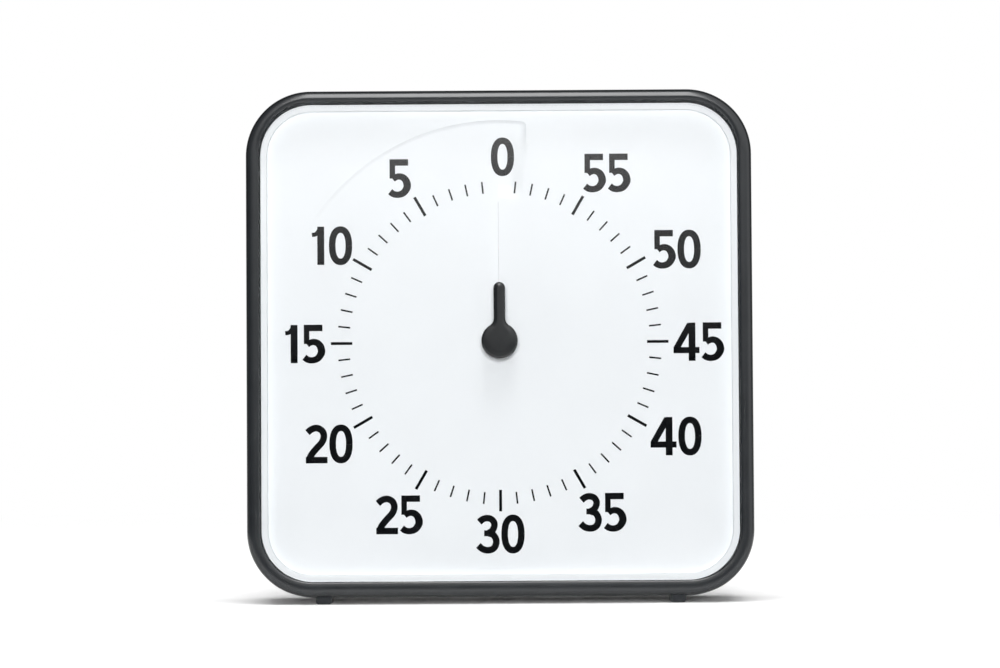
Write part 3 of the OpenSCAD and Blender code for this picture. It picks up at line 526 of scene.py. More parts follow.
def case_path(play):
    """Columns round the case: centres of curvature, which run along the straight sides and stand
    still in the corners, and outward directions. A point is centre + (corner radius - inset) *
    direction. Where a tab or its slot, wider by the play, begins or ends there is a column."""
    halves = (TOP_TAB + play, BOTTOM_TAB + play)
    marks = [side * (half + past) for half in halves for side in (-1, 1) for past in (0, 0.03)]
    steps = np.radians(np.linspace(0, 90, 33))
    along = np.linspace(0, 1, 15)[1:-1]
    centres, directions = [], []
    signs = [(1, 1), (-1, 1), (-1, -1), (1, -1)]
    for k, sign in enumerate(signs):
        here = np.array(sign) * HALF_STRAIGHT
        there = np.array(signs[(k + 1) % 4]) * HALF_STRAIGHT
        angle = steps + math.pi / 2 * k
        centres.append(np.broadcast_to(here, (len(angle), 2)))
        directions.append(circle(1, angle))
        share = along
        if k in (0, 2):
            share = np.unique([*along, *[(x / HALF_STRAIGHT + 1) / 2 for x in marks]])
        centres.append(here + share[:, None] * (there - here))
        directions.append(circle(1, np.full(len(share), math.pi / 2 * (k + 1))))
    return np.concatenate(centres), np.concatenate(directions)


def case_ring(path, inset, z, drop=0.0, out=0.0, play=0.0):
    """One ring of points round the case at an inset and a height. It is moved outwards by out over
    the two tabs' widths and the play beside them, in the middle of the top and bottom sides."""
    centres, directions = path
    inside, up = np.abs(centres[:, 0]), directions[:, 1]
    at_tab = (up > 0.999) & (inside <= TOP_TAB + play + 1e-6)
    at_tab |= (up < -0.999) & (inside <= BOTTOM_TAB + play + 1e-6)
    xy = centres + (CORNER_R - inset + out * at_tab)[:, None] * directions
    return np.column_stack([xy[:, 0], xy[:, 1] - drop, np.full(len(xy), z)])


def quarter(radius, count=9):
    """Sine and cosine steps over a quarter turn, times the radius, in pairs."""
    angle = np.linspace(0, math.pi / 2, count)
    return zip(radius * np.sin(angle), radius * np.cos(angle))


def rim_front(width, outer, inner):
    """Section of the rim's front as (inset, height, drop): a quarter round at each edge, and a
    slight crown between them, an arc that meets both rounds at the same slope."""
    tilt = math.radians(CROWN_TILT)
    start, end = outer * (1 - math.sin(tilt)), width - inner * (1 - math.sin(tilt))
    crown_r = (end - start) / 2 / math.sin(tilt)
    shoulder = FRONT_Z - crown_r * (1 - math.cos(tilt))
    angle = np.linspace(0, math.pi / 2 - tilt, 13)
    slope = np.linspace(tilt, -tilt, 9)[1:-1]
    across = [
        outer * (1 - np.cos(angle)),
        (start + end) / 2 - crown_r * np.sin(slope),
        width - inner * (1 - np.cos(angle[::-1])),
    ]
    forwards = [
        shoulder - outer * (math.cos(tilt) - np.sin(angle)),
        FRONT_Z - crown_r * (1 - np.cos(slope)),
        shoulder - inner * (math.cos(tilt) - np.sin(angle[::-1])),
    ]
    inset = np.concatenate(across)
    drop = CASE_DROP * (1 - rise(inset, start, end))
    return zip(inset, np.concatenate(forwards), drop)


def bezel_surface(sizes):
    """The rim's section carried round the rounded square, as (inset, height, drop, slot depth):
    outer wall, outer rounding, crowned front, inner rounding, inner wall with the two tab slots,
    ledge, inner side of the wall and cover seat."""
    width, back = mm(sizes.rim_width), mm(sizes.back_round)
    front = rim_front(width, mm(sizes.outer_round), mm(sizes.inner_round))
    slot_low, slot_high, slot_depth = LENS_BACK_Z - 0.1, LENS_BACK_Z + 1.4, 1.4
    lip, seat, end = WALL + 1.6, BACK_INNER_Z + 1.6, BACK_INNER_Z + 0.05
    section = [
        (WALL, LOW_Z, CASE_DROP),
        *[(back - s, LOW_Z + back - c, CASE_DROP) for s, c in quarter(back)],
        *front,
        (width, slot_high + 0.02),
        (width, slot_high, 0.0, slot_depth),
        (width, slot_low, 0.0, slot_depth),
        (width, slot_low - 0.02),
        (width, LEDGE_TOP_Z),
        (LEDGE_INSET, LEDGE_TOP_Z),
        (LEDGE_INSET, LEDGE_Z),
        *[(inset, z, CASE_DROP) for inset, z in ((WALL, LEDGE_Z), (WALL, seat), (lip, seat))],
        *[(inset, end, CASE_DROP) for inset in (lip, WALL)],
    ]
    path = case_path(SLOT_PLAY)
    return loft([case_ring(path, *spot, play=SLOT_PLAY) for spot in section], True)


def screw_bosses():
    """The tubes behind the rim that the case's and the chassis's screws bite into, each a wall and
    a blind hole turned round its screw's axis."""
    low, top = BACK_INNER_Z + 0.05, LEDGE_Z + 1
    corner = [(1.5, low), (3.5, low), (3.5, top), (0.0, top), (0.0, -1.0), (1.5, -1.0)]
    chassis = [(1.15, 6.8), (3.0, 6.8), (3.0, top), (0.0, top), (0.0, 9.6), (1.15, 9.6)]
    return [
        turned(profile, (place[0] * x, place[1] * y), 40)
        for x in (-1, 1)
        for y in (-1, 1)
        for profile, place in ((corner, CASE_SCREW), (chassis, CHASSIS_SCREW))
    ]


def dull_wall(piece):
    """Gives the rim's inner wall, in front of the lens, the matt finish of an unpolished mould."""
    mesh = piece.data
    normal, middle = np.empty((2, 3 * len(mesh.polygons)))
    mesh.polygons.foreach_get("normal", normal)
    mesh.polygons.foreach_get("center", middle)
    origin, axes = dial_axes()
    facing = normal.reshape(-1, 3) @ axes.T
    place = (middle.reshape(-1, 3) - origin) @ axes.T * 1000
    inward = np.sum(facing[:, :2] * place[:, :2], 1) < 0
    low, high = LENS_FRONT_Z - 2, FRONT_Z - 0.2
    chosen = inward & (np.abs(facing[:, 2]) < 0.4) & (place[:, 2] > low) & (place[:, 2] < high)
    mesh.materials.append(matt_abs())
    mesh.polygons.foreach_set("material_index", chosen.astype(np.int32))


class TIMER_OT_frame(bpy.types.Operator):
    """Builds the charcoal frame: front rim, side walls, ledge and screw bosses"""

    bl_idname = "timer.frame"
    bl_label = "Frame"

    def execute(self, context):
        parts = [bezel_surface(context.scene.timer_case), *screw_bosses()]
        finish = charcoal_abs()
        dull_wall(make_piece("frame", parts, "case", finish, ["front_bezel"]))
        return {"FINISHED"}


class TIMER_OT_lens(bpy.types.Operator):
    """Builds the clear lens with its two snap tabs and the hole for the knob's stem"""

    bl_idname = "timer.lens"
    bl_label = "Lens"

    def execute(self, context):
        inset, tab = mm(context.scene.timer_case.lens_inset), 1.1
        path = case_path(0.0)
        back, tab_z, front = LENS_BACK_Z, LENS_BACK_Z + 1.2, LENS_FRONT_Z
        directions = case_ring(path, CORNER_R * 0.999, 0.0)
        around = np.arctan2(directions[:, 1], directions[:, 0])
        bore = circle(STEM_HOLE_R, around)
        ends = [np.column_stack([bore, np.full(len(bore), z)]) for z in (back, front)]
        section = [
            (inset + 0.08, back, 0.0, tab),
            (inset, back + 0.08, 0.0, tab),
            (inset, tab_z, 0.0, tab),
            (inset, tab_z + 0.02),
            (inset + 0.12, front - 0.28),
            (inset + 0.4, front),
        ]
        outline = [case_ring(path, *spot) for spot in section]
        # The flat faces are straight lines from the outline to the hole, cut in steps
        flat = [0.25, 0.5, 0.75]
        behind = [ends[0] + (outline[0] - ends[0]) * t for t in flat]
        ahead = [outline[-1] + (ends[1] - outline[-1]) * t for t in flat]
        parts = [loft([ends[0], *behind, *outline, *ahead, ends[1]], True)]
        make_piece("lens_cover", parts, "case", clear_acrylic(), ["lens"])
        return {"FINISHED"}


# ---- Dial ----


def slit_angle(r):
    """Half the slit's angle in degrees: a slit of even width that ends at SLIT_END_R."""
    return np.where(r < SLIT_END_R - 1e-9, np.degrees(np.arcsin(SLIT_HALF / r)), 0.0)


def lip_angle(r):
    """Angle by which the dial's upper side of the slit reaches over the lower one, so that the slit
    shows as a step and no gap. It eases away towards the slit's end."""
    reach = SLIT_LIP * (1 - rise(r, DISC_ZONE_R, SLIT_END_R))
    return np.degrees(np.arcsin(reach / r))


def wall_angle(r, sizes):
    """Angle of the recess's upright right wall, which stands at an even distance from the axis."""
    return 360 - np.degrees(np.arcsin(mm(sizes.recess_right) / np.maximum(r, DISC_ZONE_R)))


def hollow(distance, width, power):
    """Share of a recess's depth at a distance from its wall, to which the floor curves up."""
    return 1 - np.clip(1 - distance / width, 0, 1) ** power


def corner_cut(from_wall):
    """How far the recess's outer edge bends inwards near its right wall, as a rounded corner."""
    bend = np.clip(1 - from_wall / RECESS_CORNER, 0, 1)
    return RECESS_CORNER * (1 - np.sqrt(1 - bend**2))


def face_height(phi, r, pocket, sizes):
    """Height of the dial's front at an anticlockwise angle from 12 o'clock and a radius.
    Over the disc it is one turn of a screw surface. Outside it, it eases up to the flat dial, apart
    from the recess: full depth at 12 o'clock, fading out to the left. In the pocket to the right
    the floor curves up to the wall, whose height dies away towards the axis."""
    pitch, edge = mm(sizes.pitch), mm(sizes.recess)
    low = -pitch * (1 - phi / 360)
    outwards = rise(r, DISC_ZONE_R, edge)
    recess = np.where(phi < RECESS_FADE, -pitch * (1 - phi / RECESS_FADE), 0.0)
    from_wall = np.maximum(0, mm(sizes.recess_right) + r * np.sin(np.radians(phi)))
    wall = rise(r, SLIT_END_R, edge) ** 2
    deep = pitch * rise(r, DISC_ZONE_R, SLIT_END_R)
    deep *= mix(rise(from_wall, 0, 7), 1, wall) * hollow(from_wall, *WALL_HOLLOW)
    foot = hollow(edge - np.where(pocket, corner_cut(from_wall), 0) - r, *ARC_HOLLOW)
    recess, deep = recess * foot, deep * foot
    return np.where(pocket, low * (1 - outwards) - deep, mix(low, recess, outwards))


def dial_point(phi, r, height):
    angle = np.radians(phi)
    return np.stack([-r * np.sin(angle), r * np.cos(angle), DIAL_Z + height], -1)


def edge_radius(phi, inset):
    """Distance from the axis, along an angle, to a rounded square set in from the case's side."""
    c, s = np.abs(np.cos(np.radians(phi))), np.abs(np.sin(np.radians(phi)))
    half, radius = HALF_SIZE - inset, CORNER_R - inset
    reach = HALF_STRAIGHT * (s + c)
    corner = reach + np.sqrt(np.maximum(reach**2 - 2 * HALF_STRAIGHT**2 + radius**2, 0))
    flat = half / np.maximum(c, s)
    on_side = half * np.minimum(c, s) <= HALF_STRAIGHT * np.maximum(c, s)
    return np.where(on_side, flat, corner)


def dial_surface(sizes):
    """The dial as a grid of angles and rings: front from the hole out, raised edge, and back again.
    Columns run once round from one side of the slit to the other, the last few in the pocket
    between the recess's wall and the slit. Two strips close the rings that the slit cuts."""
    turn = np.linspace(0, 1, 361)
    shelf = np.linspace(0, 1, 19) ** 1.6
    last = len(turn) + len(shelf)
    pocket = np.arange(last) >= len(turn)

    def angles(r):
        left, right = r[: len(turn)], r[len(turn) :]
        first = mix(slit_angle(left), wall_angle(left, sizes), turn)
        return np.append(first, mix(wall_angle(right, sizes), 360 + lip_angle(right), shelf))

    def ring(r, height):
        r = np.broadcast_to(np.asarray(r, float), (last,))
        phi = angles(r)
        return dial_point(phi, r, height(phi, r))

    def front(phi, r):
        return face_height(phi, r, pocket, sizes)

    def level(height):
        return lambda phi, r: 0 * r + height

    recess, inset, under = mm(sizes.recess), mm(sizes.rim_inset), -mm(sizes.pitch) - 1

    def back(phi, r):
        step = rise(r, DISC_ZONE_R, SLIT_END_R)
        return mix(front(phi, r) - mm(sizes.skin), under, step)

    slit_rows = np.append(np.linspace(5.5, DISC_ZONE_R, 15), np.linspace(55.0, SLIT_END_R, 6))
    foot = recess - ARC_HOLLOW[0] * np.array([0.8, 0.6, 0.42, 0.26, 0.12, 0])
    rows = [*slit_rows, *np.linspace(SLIT_END_R, recess - ARC_HOLLOW[0], 19)[1:], *foot]
    corner = corner_cut(np.append([HALF_SIZE] * len(turn), shelf * mm(sizes.recess_right)))
    near = [rise(r, SLIT_END_R, recess) for r in rows]
    rings = [ring(r - corner * share, front) for r, share in zip(rows, near)]
    rings += [ring(recess + past - corner, level(0)) for past in (STEP_RUN, STEP_RUN + CREASE)]
    # The raised edge as (inset, height): inner side, rounded top, outer side and underside
    side, low, top = DIAL_EDGE_INSET, DIAL_UNDERSIDE, LENS_BACK_Z - DIAL_Z - 0.05
    rim = [(inset + 0.5, 0.0), (inset + 0.12, 0.12), (inset, 0.5), (inset, top - 0.2)]
    rim += [(inset - 0.06, top - 0.06), (inset - 0.2, top), (side + 0.12, top)]
    rim += [(side, top - 0.12), (side, low + 0.15), (side + 0.15, low), (LEDGE_INSET + 0.4, low)]
    outer = angles(np.full(last, HALF_SIZE))
    rings += [dial_point(outer, edge_radius(outer, i), np.full(last, z)) for i, z in rim]
    rings.append(ring(recess + 0.7, level(under)))
    rings += [ring(r, back) for r in slit_rows[::-1]]
    return np.concatenate(rings), slit_faces(len(rings), last, len(slit_rows))


class TIMER_OT_dial(bpy.types.Operator):
    """Builds the white dial: screw surface over the disc, slit, shallow recess and raised edge"""

    bl_idname = "timer.dial"
    bl_label = "Dial"

    def execute(self, context):
        parts = [dial_surface(context.scene.timer_dial)]
        make_piece("dial", parts, "case", white_abs(), ["dial_plate"], sharp=40)
        return {"FINISHED"}


def printed(points, sizes):
    """Puts flat points of (x, y) onto the dial's front, lifted by the ink's thickness."""
    x, y = points[..., 0], points[..., 1]
    r = np.hypot(x, y)
    phi = np.degrees(np.arctan2(-x, y)) % 360
    pocket = phi > wall_angle(r, sizes)
    return dial_point(phi, r, face_height(phi, r, pocket, sizes) + INK_LIFT)


def ribbon(line, half_width, sizes, across=5):
    """A stroke: points across a centre line, from one edge to the other, all along it."""
    line = np.asarray(line, float)
    along = np.gradient(line, axis=0)
    along /= np.linalg.norm(along, axis=1, keepdims=True)
    side = np.stack([-along[:, 1], along[:, 0]], -1)
    t = np.linspace(-1, 1, across)
    width = np.broadcast_to(np.asarray(half_width, float), (len(line),))
    flat = line[:, None, :] + side[:, None, :] * t[None, :, None] * width[:, None, None]
    return printed(flat, sizes).reshape(-1, 3), grid_faces(len(line), across)


def print_ink(name, parts):
    """Ink laid on the dial as sheets, given their thickness downwards by a Solidify modifier."""
    piece = make_piece(name, parts, "case", screen_ink(), solid=False)
    skin = piece.modifiers.new("Ink thickness", "SOLIDIFY")
    skin.thickness = INK_LIFT / 1000
    skin.offset = -1


class TIMER_OT_ticks(bpy.types.Operator):
    """Prints the minute marks round the dial, with longer ones every five minutes and none at 0"""

    bl_idname = "timer.ticks"
    bl_label = "Minute marks"

    def execute(self, context):
        sizes = context.scene.timer_dial
        parts = []
        for minute in range(1, 60):
            span, width = TICK, mm(sizes.tick_width)
            if minute % 5 == 0:
                span, width = LONG_TICK, mm(sizes.long_tick_width)
            angle = math.radians(6 * minute)
            r = np.linspace(*span, 7)
            line = np.stack([-r * math.sin(angle), r * math.cos(angle)], -1)
            parts.append(ribbon(line, width / 2, sizes, 3))
        print_ink("dial_ticks", parts)
        return {"FINISHED"}


def curve(*points, count=40):
    """A smooth line through points: each span is a cubic whose end slopes follow its neighbours."""
    p = np.asarray(points, float)
    slope = np.gradient(p, axis=0)
    t = np.linspace(0, len(p) - 1, count)
    i = np.minimum(t.astype(int), len(p) - 2)
    s = (t - i)[:, None]
    a, b, da, db = p[i], p[i + 1], slope[i], slope[i + 1]
    return (
        a * (2 * s**3 - 3 * s**2 + 1)
        + da * (s**3 - 2 * s**2 + s)
        + b * (3 * s**2 - 2 * s**3)
        + db * (s**3 - s**2)
    )


def bar(start, end, count=8):
    """A straight line between two points."""
    return np.linspace(start, end, count)


def oval(centre, width, height, count=73):
    """A closed line round an oval whose sides are a little straighter than an ellipse's."""
    round_line = circle(1, np.linspace(0, 2 * math.pi, count))
    return centre + (width, height) * np.sign(round_line) * np.abs(round_line) ** (2 / 2.3)


# Bold upright digits, drawn in thousandths of the numeral's height: width, then the strokes as
# (centre line, half the stroke's width)
DIGITS = {
    "0": (600, (oval((300, 500), 217, 421), 82)),
    "1": (
        324,
        (bar((238, 0), (238, 1000)), 86),
        (curve((8, 785), (95, 797), (160, 850), (205, 935)), 52),
    ),
    "2": (
        567,
        (curve((84, 60), (143, 215), (275, 380), (420, 540), (474, 700), (428, 845), (292, 916),
               (152, 884), (45, 800)), 83),
        (bar((0, 80), (567, 80)), 80),
    ),
    "3": (
        610,
        (curve((85, 815), (165, 882), (280, 918), (400, 888), (472, 800), (474, 700), (425, 595),
               (330, 530)), 82),
        (bar((210, 522), (380, 522)), 73),
        (curve((330, 520), (440, 487), (508, 390), (525, 286), (487, 165), (398, 97), (280, 82),
               (162, 118), (58, 208)), 83),
    ),
    "4": (
        676,
        (bar((484, 0), (484, 1000)), 85),
        (bar((0, 282), (676, 282)), 76),
        (bar((68, 310), (438, 960)), 79),
    ),
    "5": (
        592,
        (bar((42, 920), (524, 920)), 80),
        (bar((110, 1000), (110, 500)), 69),
        (curve((50, 155), (140, 92), (268, 75), (398, 122), (480, 234), (498, 325), (466, 440),
               (392, 523), (290, 553), (194, 530), (124, 480)),
         [80, 80, 78, 84, 91, 94, 91, 84, 79, 76, 74]),
    ),
}

# Where the middle of each number stands, in millimetres right of and above the axis
NUMBER_PLACES = {
    0: (1.5, 70.6), 5: (-37.6, 62.55), 10: (-63.35, 37.1),
    15: (-73.65, -0.15), 20: (-64.7, -38.05), 25: (-38.25, -65.0),
    30: (-0.2, -72.5), 35: (38.4, -64.5), 40: (66.45, -35.9),
    45: (75.35, -0.2), 50: (67.3, 34.95), 55: (41.0, 64.1),
}


def number_strokes(text, centre, height, sizes):
    """Ribbons of a number's digits, side by side, with their whole box centred at a point."""
    gaps = [GAP_AFTER_1 if digit == "1" else DIGIT_GAP for digit in text[:-1]]
    total = sum(DIGITS[digit][0] for digit in text) + sum(gaps)
    unit = height / 1000
    left = centre[0] - total * unit / 2
    bottom = centre[1] - height / 2
    parts = []
    for digit, gap in zip(text, [*gaps, 0]):
        width, *strokes = DIGITS[digit]
        for line, half in strokes:
            half = BOLD * np.asarray(half, float)
            if half.size > 1:
                half = np.interp(np.linspace(0, 1, len(line)), np.linspace(0, 1, half.size), half)
            parts.append(ribbon(line * unit + [left, bottom], half * unit, sizes, 9))
        left += (width + gap) * unit
    return parts


class TIMER_OT_numbers(bpy.types.Operator):
    """Prints the numbers 0 to 55, which grow anticlockwise from 12 o'clock"""

    bl_idname = "timer.numbers"
    bl_label = "Numbers"

    def execute(self, context):
        sizes = context.scene.timer_dial
        parts = []
        for number, centre in NUMBER_PLACES.items():
            parts += number_strokes(str(number), centre, mm(sizes.numeral), sizes)
        print_ink("dial_numbers", parts)
        return {"FINISHED"}


# ---- Red disc and knob ----


def disc_surface(sizes):
    """One turn of a thin screw surface, cut along a radius: front inside out, then back again."""
    pitch, under = mm(sizes.pitch), mm(sizes.skin) + DISC_GAP
    share = np.linspace(0, 1, 241)
    radii = np.linspace(DISC_INNER_R, DISC_OUTER_R, 12)
    rings = []
    for r, drop in [(r, 0.0) for r in radii] + [(r, DISC_THICK) for r in radii[::-1]]:
        free = math.degrees(math.asin(DISC_CUT_HALF / r))
        phi = mix(free, 360 - free, share)
        height = -pitch * (1 - phi / 360) - under - drop
        rings.append(dial_point(phi, np.full(len(phi), r), height))
    return np.concatenate(rings), slit_faces(len(rings), len(share), len(radii))


class TIMER_OT_disc(bpy.types.Operator):
    """Builds the red disc: one turn of a thin screw surface, at rest just behind the dial"""

    bl_idname = "timer.disc"
    bl_label = "Red disc"

    def execute(self, context):
        parts = [disc_surface(context.scene.timer_dial)]
        make_piece("time_disc", parts, "disc", disc_film(), ["red_disc"])
        return {"FINISHED"}


def knob_outline(sizes, shrink, count=24):
    """Closed line round the knob, moved in by shrink: half circle of the boss below, hollow
    fillets, straight lever and round tip."""
    fillet = 3.0 + shrink
    boss = mm(sizes.boss) - shrink
    lever = mm(sizes.lever) / 2 - shrink
    tip = mm(sizes.reach) - mm(sizes.lever) / 2
    fillet_y = math.sqrt((boss + fillet) ** 2 - (lever + fillet) ** 2)
    turn = math.atan2(fillet_y, lever + fillet)
    right = circle(boss, np.linspace(-math.pi / 2, turn, 2 * count))
    bend = circle(fillet, np.linspace(turn + math.pi, math.pi, count)) + (lever + fillet, fillet_y)
    side = bar((lever, fillet_y), (lever, tip), count)
    end = circle(lever, np.linspace(0, math.pi / 2, count)) + (0, tip)
    half = np.concatenate([right[:-1], bend[:-1], side[:-1], end])
    return np.concatenate([half, half[-2:0:-1] * [-1, 1]])


def knob_surface(sizes):
    """The knob from the end of its bore out over the stem, round its back edge and over its front,
    which ends in a spine from the boss's middle to the tip's centre."""
    edge, chamfer = mm(sizes.edge), 0.3
    rings = []

    def ring(line, z):
        rings.append(np.column_stack([line, np.full(len(line), z)]))

    outline = knob_outline(sizes, 0.0)
    angle = np.arctan2(outline[:, 1], outline[:, 0])
    bore = [(0.01, BORE_END_Z), (BORE_R, BORE_END_Z), (BORE_R, STEM_BACK_Z)]
    for radius, z in (*bore, (STEM_R, STEM_BACK_Z), (STEM_R, KNOB_BACK_Z)):
        ring(circle(radius, angle), z)
    ring(knob_outline(sizes, chamfer), KNOB_BACK_Z)
    for s, c in quarter(chamfer, 5):
        ring(knob_outline(sizes, chamfer - s), KNOB_BACK_Z + chamfer - c)
    for s, c in quarter(edge):
        ring(knob_outline(sizes, edge - c), KNOB_FRONT_Z - KNOB_CROWN - edge + s)
    face = rings[-1][:, :2]
    tip = mm(sizes.reach) - mm(sizes.lever) / 2
    spine = np.stack([0 * face[:, 0], np.clip(face[:, 1], 0, tip)], -1)
    for t in (0.1, 0.2, 0.3, 0.33, 0.5, 0.75, 1.0):
        height = KNOB_FRONT_Z - KNOB_CROWN * (1 - min(1.0, t / 0.3))
        ring(mix(face, spine, t), height + 0.02 * t)
    return loft(rings, False)


class TIMER_OT_knob(bpy.types.Operator):
    """Builds the setting knob: round boss with a pointer lever, and the stem through the lens"""

    bl_idname = "timer.knob"
    bl_label = "Knob"

    def execute(self, context):
        parts = [knob_surface(context.scene.timer_knob)]
        make_piece("setting_knob", parts, "knob", knob_abs(), ["knob"])
        return {"FINISHED"}


class TIMER_OT_finishes(bpy.types.Operator):
    """Gives every CAD node the finish of its real material"""

    bl_idname = "timer.finishes"
    bl_label = "Finishes of the works"

    def execute(self, context):
        finish_of = {n: build() for build, names in NODE_FINISHES.items() for n in names.split()}
        for name in ("red_lead", "buzzer_leads"):
            finish_of[name] = wire_skin("pvc_red", "#C02020")
        finish_of["black_lead"] = wire_skin("pvc_black", "#202020")
        for name, node in frame["nodes"].items():
            for slot in node.material_slots:
                slot.material = finish_of[name]
        return {"FINISHED"}


# ---- Studio ----


def grey(level):
    return (level, level, level, 1.0)


def studio_floor():
    """Pale paper floor. The camera sees it as white outside the object's shadow, and the light that
    it throws back on the object is that of dark grey paper, so edges that face down stay dark."""
    material = bpy.data.materials.new("paper_floor")
    add = emptied(material)
    path = add("LightPath")
    place = (add("TexCoord"), "Object")
    fibres = add("TexNoise", {"Scale": 40.0, "Detail": 2.0}, {"Vector": place})
    stops = [(0.3, linear("#F2F2F2")), (0.7, linear("#F6F6F6"))]
    paper = add("ValToRGB", links={"Fac": (fibres, "Fac")}, stops=stops)
    depth = {"Scale": 1.0, "Radius": (0.025, 0.025, 0.025)}
    pale = add("SubsurfaceScattering", depth, {"Color": (paper, "Color")})
    dull = add("BsdfDiffuse", {"Color": grey(0.15)})
    white = add("Emission", {"Color": WHITE, "Strength": 1.0})
    distance = add("VectorMath", links={0: place}, operation="LENGTH")
    fade, links = {"From Min": 0.25, "From Max": 0.7}, {"Value": (distance, "Value")}
    far = add("MapRange", fade, links, interpolation_type="SMOOTHSTEP")
    links = {0: (far, "Result"), 1: (pale, "BSSRDF"), 2: (white, "Emission")}
    seen = add("MixShader", links=links)
    links = {0: (path, "Is Camera Ray"), 1: (path, "Is Glossy Ray")}
    either = add("Math", links=links, operation="MAXIMUM")
    links = {0: (either, "Value"), 1: (path, "Is Transmission Ray")}
    any_of = add("Math", links=links, operation="MAXIMUM")
    links = {0: (any_of, "Value"), 1: (dull, "BSDF"), 2: (seen, "Shader")}
    mixed = add("MixShader", links=links)
    add("OutputMaterial", links={"Surface": (mixed, "Shader")})
    return material


def studio_world():
    """White behind the object. Mirroring and clear surfaces see a room whose front half is bright
    above about nine degrees and on the right, and dark elsewhere, and which is white behind. As
    light, the room is dark grey in front of the object and grey behind it."""
    world = bpy.context.scene.world = bpy.data.worlds.new("studio")
    add = emptied(world)
    place = (add("TexCoord"), "Generated")
    apart = add("SeparateXYZ", links={"Vector": place})
    stops = [(0.128, grey(0.0)), (0.148, grey(0.46)), (0.160, grey(0.85)), (0.168, grey(1.35))]
    height = add("ValToRGB", links={"Fac": (apart, "Z")}, stops=stops)
    # Each rises smoothly along one axis: where it begins and ends, and its values there
    rises = (
        ("Y", 0.2, -0.5, 0.05, 1.0),
        ("X", -0.4, -0.1, 0.2, 1.0),
        ("X", 0.12, 0.6, 0.0, 1.2),
        ("Y", 0.6, 0.95, 0.0, 1.0),
        ("Y", 0.0, 0.6, ROOM_LEVEL, BACK_LEVEL),
    )
    smooth = []
    for axis, *limits in rises:
        values, links = dict(zip(RANGE, limits)), {"Value": (apart, axis)}
        node = add("MapRange", values, links, interpolation_type="SMOOTHSTEP")
        smooth.append((node, "Result"))
    front, left, right, behind, level = smooth
    darker = add("Math", links={0: (height, "Color"), 1: left}, operation="MULTIPLY")
    wider = add("Math", links={0: (darker, "Value"), 1: right}, operation="MAXIMUM")
    links = {0: (wider, "Value"), 1: front, 2: behind}
    mirrored = add("Math", links=links, operation="MULTIPLY_ADD")
    path = add("LightPath")
    links = {0: (path, "Is Glossy Ray"), 1: (path, "Is Transmission Ray")}
    mirrors = add("Math", links=links, operation="MAXIMUM")
    links = {"Factor": (mirrors, "Value"), "A": level, "B": (mirrored, "Value")}
    strength = add("Mix", links=links)
    room = add("Background", {"Color": WHITE}, {"Strength": (strength, "Result")})
    white = add("Background", {"Color": WHITE, "Strength": 1.0})
    links = {0: (path, "Is Camera Ray"), 1: (room, "Background"), 2: (white, "Background")}
    mixed = add("MixShader", links=links)
    add("OutputWorld", links={"Surface": (mixed, "Shader")})


def linked(name, data):
    """A new object of the scene."""
    holder = bpy.data.objects.new(name, data)
    bpy.context.scene.collection.objects.link(holder)
    return holder


def softbox(name, place, aim, width, height, energy, hidden=()):
    """A rectangular lamp that faces a point, unseen by the camera itself and by the hidden rays."""
    lamp = bpy.data.lights.new(name, "AREA")
    lamp.shape = "RECTANGLE"
    lamp.size, lamp.size_y, lamp.energy = width, height, energy
    box = linked(name, lamp)
    away = np.array(place, float) - np.array(aim, float)
    away /= np.linalg.norm(away)
    right = np.cross([0.0, 0.0, 1.0], away)
    right /= np.linalg.norm(right)
    box.matrix_world = turned_matrix(right, np.cross(away, right), away, place)
    for ray in ("camera", *hidden):
        setattr(box, f"visible_{ray}", False)
    return box


def turned_matrix(right, up, back, place):
    """An object's matrix from its three directions and its place."""
    matrix = np.eye(4)
    matrix[:3] = np.stack([right, up, back, place], -1)
    return Matrix(matrix.tolist())


def studio_camera():
    """Looks at the dial from two metres, a little below its normal, as at one on a table."""
    pitch, yaw, roll = (math.radians(a) for a in CAMERA_ANGLES)
    sides = [math.sin(yaw) * math.cos(pitch), math.sin(pitch), math.cos(yaw) * math.cos(pitch)]
    toward, (_, axes) = np.array(sides), dial_axes()
    right = np.cross(-toward, [0.0, 1.0, 0.0])
    right /= np.linalg.norm(right)
    up = np.cross(right, -toward)
    rolled = math.cos(roll) * right + math.sin(roll) * up
    level = -math.sin(roll) * right + math.cos(roll) * up
    place = placed(np.array(CAMERA_TARGET) + toward * CAMERA_DISTANCE)[0]
    camera = bpy.data.cameras.new("camera")
    camera.sensor_fit, camera.sensor_width = "HORIZONTAL", 36.0
    camera.lens, camera.clip_end = CAMERA_LENS, 100.0
    holder = linked("camera", camera)
    holder.matrix_world = turned_matrix(rolled @ axes, level @ axes, toward @ axes, place)
    bpy.context.scene.camera = holder


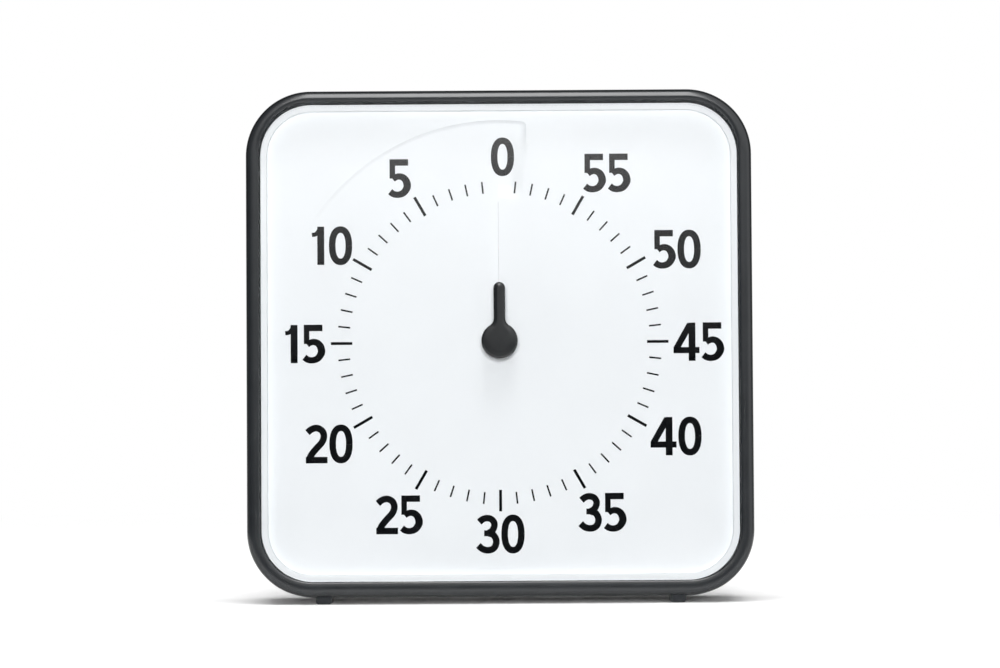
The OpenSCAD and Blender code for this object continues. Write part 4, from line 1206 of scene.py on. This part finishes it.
class TIMER_OT_studio(bpy.types.Operator):
    """Builds the pale floor, the soft lamps, the white room and the camera"""

    bl_idname = "timer.studio"
    bl_label = "Studio"

    def execute(self, context):
        angle = np.linspace(0, 2 * math.pi, 96, endpoint=False)
        radius = np.array([0.0005, 0.3, 0.7, 2.0, 8.0, 30.0])[:, None]
        points = np.dstack([circle(radius, angle), 0 * radius * angle]).reshape(-1, 3)
        faces = grid_faces(len(radius), len(angle), False, True).tolist()
        middle = list(range(len(angle)))[::-1]
        mesh = bpy.data.meshes.new("floor")
        mesh.from_pydata(points.tolist(), [], [*faces, middle])
        mesh.materials.append(studio_floor())
        floor = linked("floor", mesh)
        studio_world()
        centre, unmirrored = (0.0, 0.0, 0.1), ("glossy", "transmission")
        softbox("key_softbox", (0.05, -0.95, 1.55), centre, 0.6, 0.6, KEY_ENERGY, unmirrored)
        softbox("fill_softbox", (0.0, -2.6, 0.32), centre, 0.4, 0.35, FILL_ENERGY, unmirrored)
        # A tall strip that only shows as a highlight on glossy edges
        hidden = ("diffuse", "transmission")
        softbox("strip_softbox", (0.0, -1.5, 1.35), centre, 0.5, 1.4, STRIP_ENERGY, hidden)
        middle = (0.0, -0.1, 0.0)
        above = softbox("floor_softbox", (0.0, -0.25, 1.4), middle, 1.6, 1.2, FLOOR_ENERGY)
        paper = bpy.data.collections.new("paper")
        paper.objects.link(floor)
        above.light_linking.receiver_collection = paper
        studio_camera()
        context.scene.view_settings.view_transform = "Standard"
        return {"FINISHED"}


class TIMER_PT_pieces(bpy.types.Panel):
    """Lists the operators that build the timer"""

    bl_idname = "TIMER_PT_pieces"
    bl_label = "Countdown timer"
    bl_space_type = "VIEW_3D"
    bl_region_type = "UI"
    bl_category = "Timer"

    def draw(self, context):
        for operator in OPERATORS:
            self.layout.operator(operator.bl_idname)
        for name in SETTINGS:
            group = getattr(context.scene, name)
            box = self.layout.box()
            for key in group.__annotations__:
                box.prop(group, key)


SETTINGS = {
    "timer_case": TimerCaseSizes,
    "timer_dial": TimerDialSizes,
    "timer_knob": TimerKnobSizes,
    "timer_finishes": TimerFinishes,
}
OPERATORS = (
    TIMER_OT_frame,
    TIMER_OT_dial,
    TIMER_OT_ticks,
    TIMER_OT_numbers,
    TIMER_OT_disc,
    TIMER_OT_knob,
    TIMER_OT_lens,
    TIMER_OT_finishes,
    TIMER_OT_studio,
)


def register():
    for group in SETTINGS.values():
        bpy.utils.register_class(group)
    for name, group in SETTINGS.items():
        setattr(bpy.types.Scene, name, PointerProperty(type=group))
    for operator in OPERATORS:
        bpy.utils.register_class(operator)
    bpy.utils.register_class(TIMER_PT_pieces)


def unregister():
    bpy.utils.unregister_class(TIMER_PT_pieces)
    for operator in reversed(OPERATORS):
        bpy.utils.unregister_class(operator)
    for name in SETTINGS:
        delattr(bpy.types.Scene, name)
    for group in SETTINGS.values():
        bpy.utils.unregister_class(group)


def main():
    """Builds everything in order."""
    register()
    bpy.ops.timer.frame()
    bpy.ops.timer.dial()
    bpy.ops.timer.ticks()
    bpy.ops.timer.numbers()
    bpy.ops.timer.disc()
    bpy.ops.timer.knob()
    bpy.ops.timer.lens()
    bpy.ops.timer.finishes()
    bpy.ops.timer.studio()


if __name__ == "__main__":
    main()
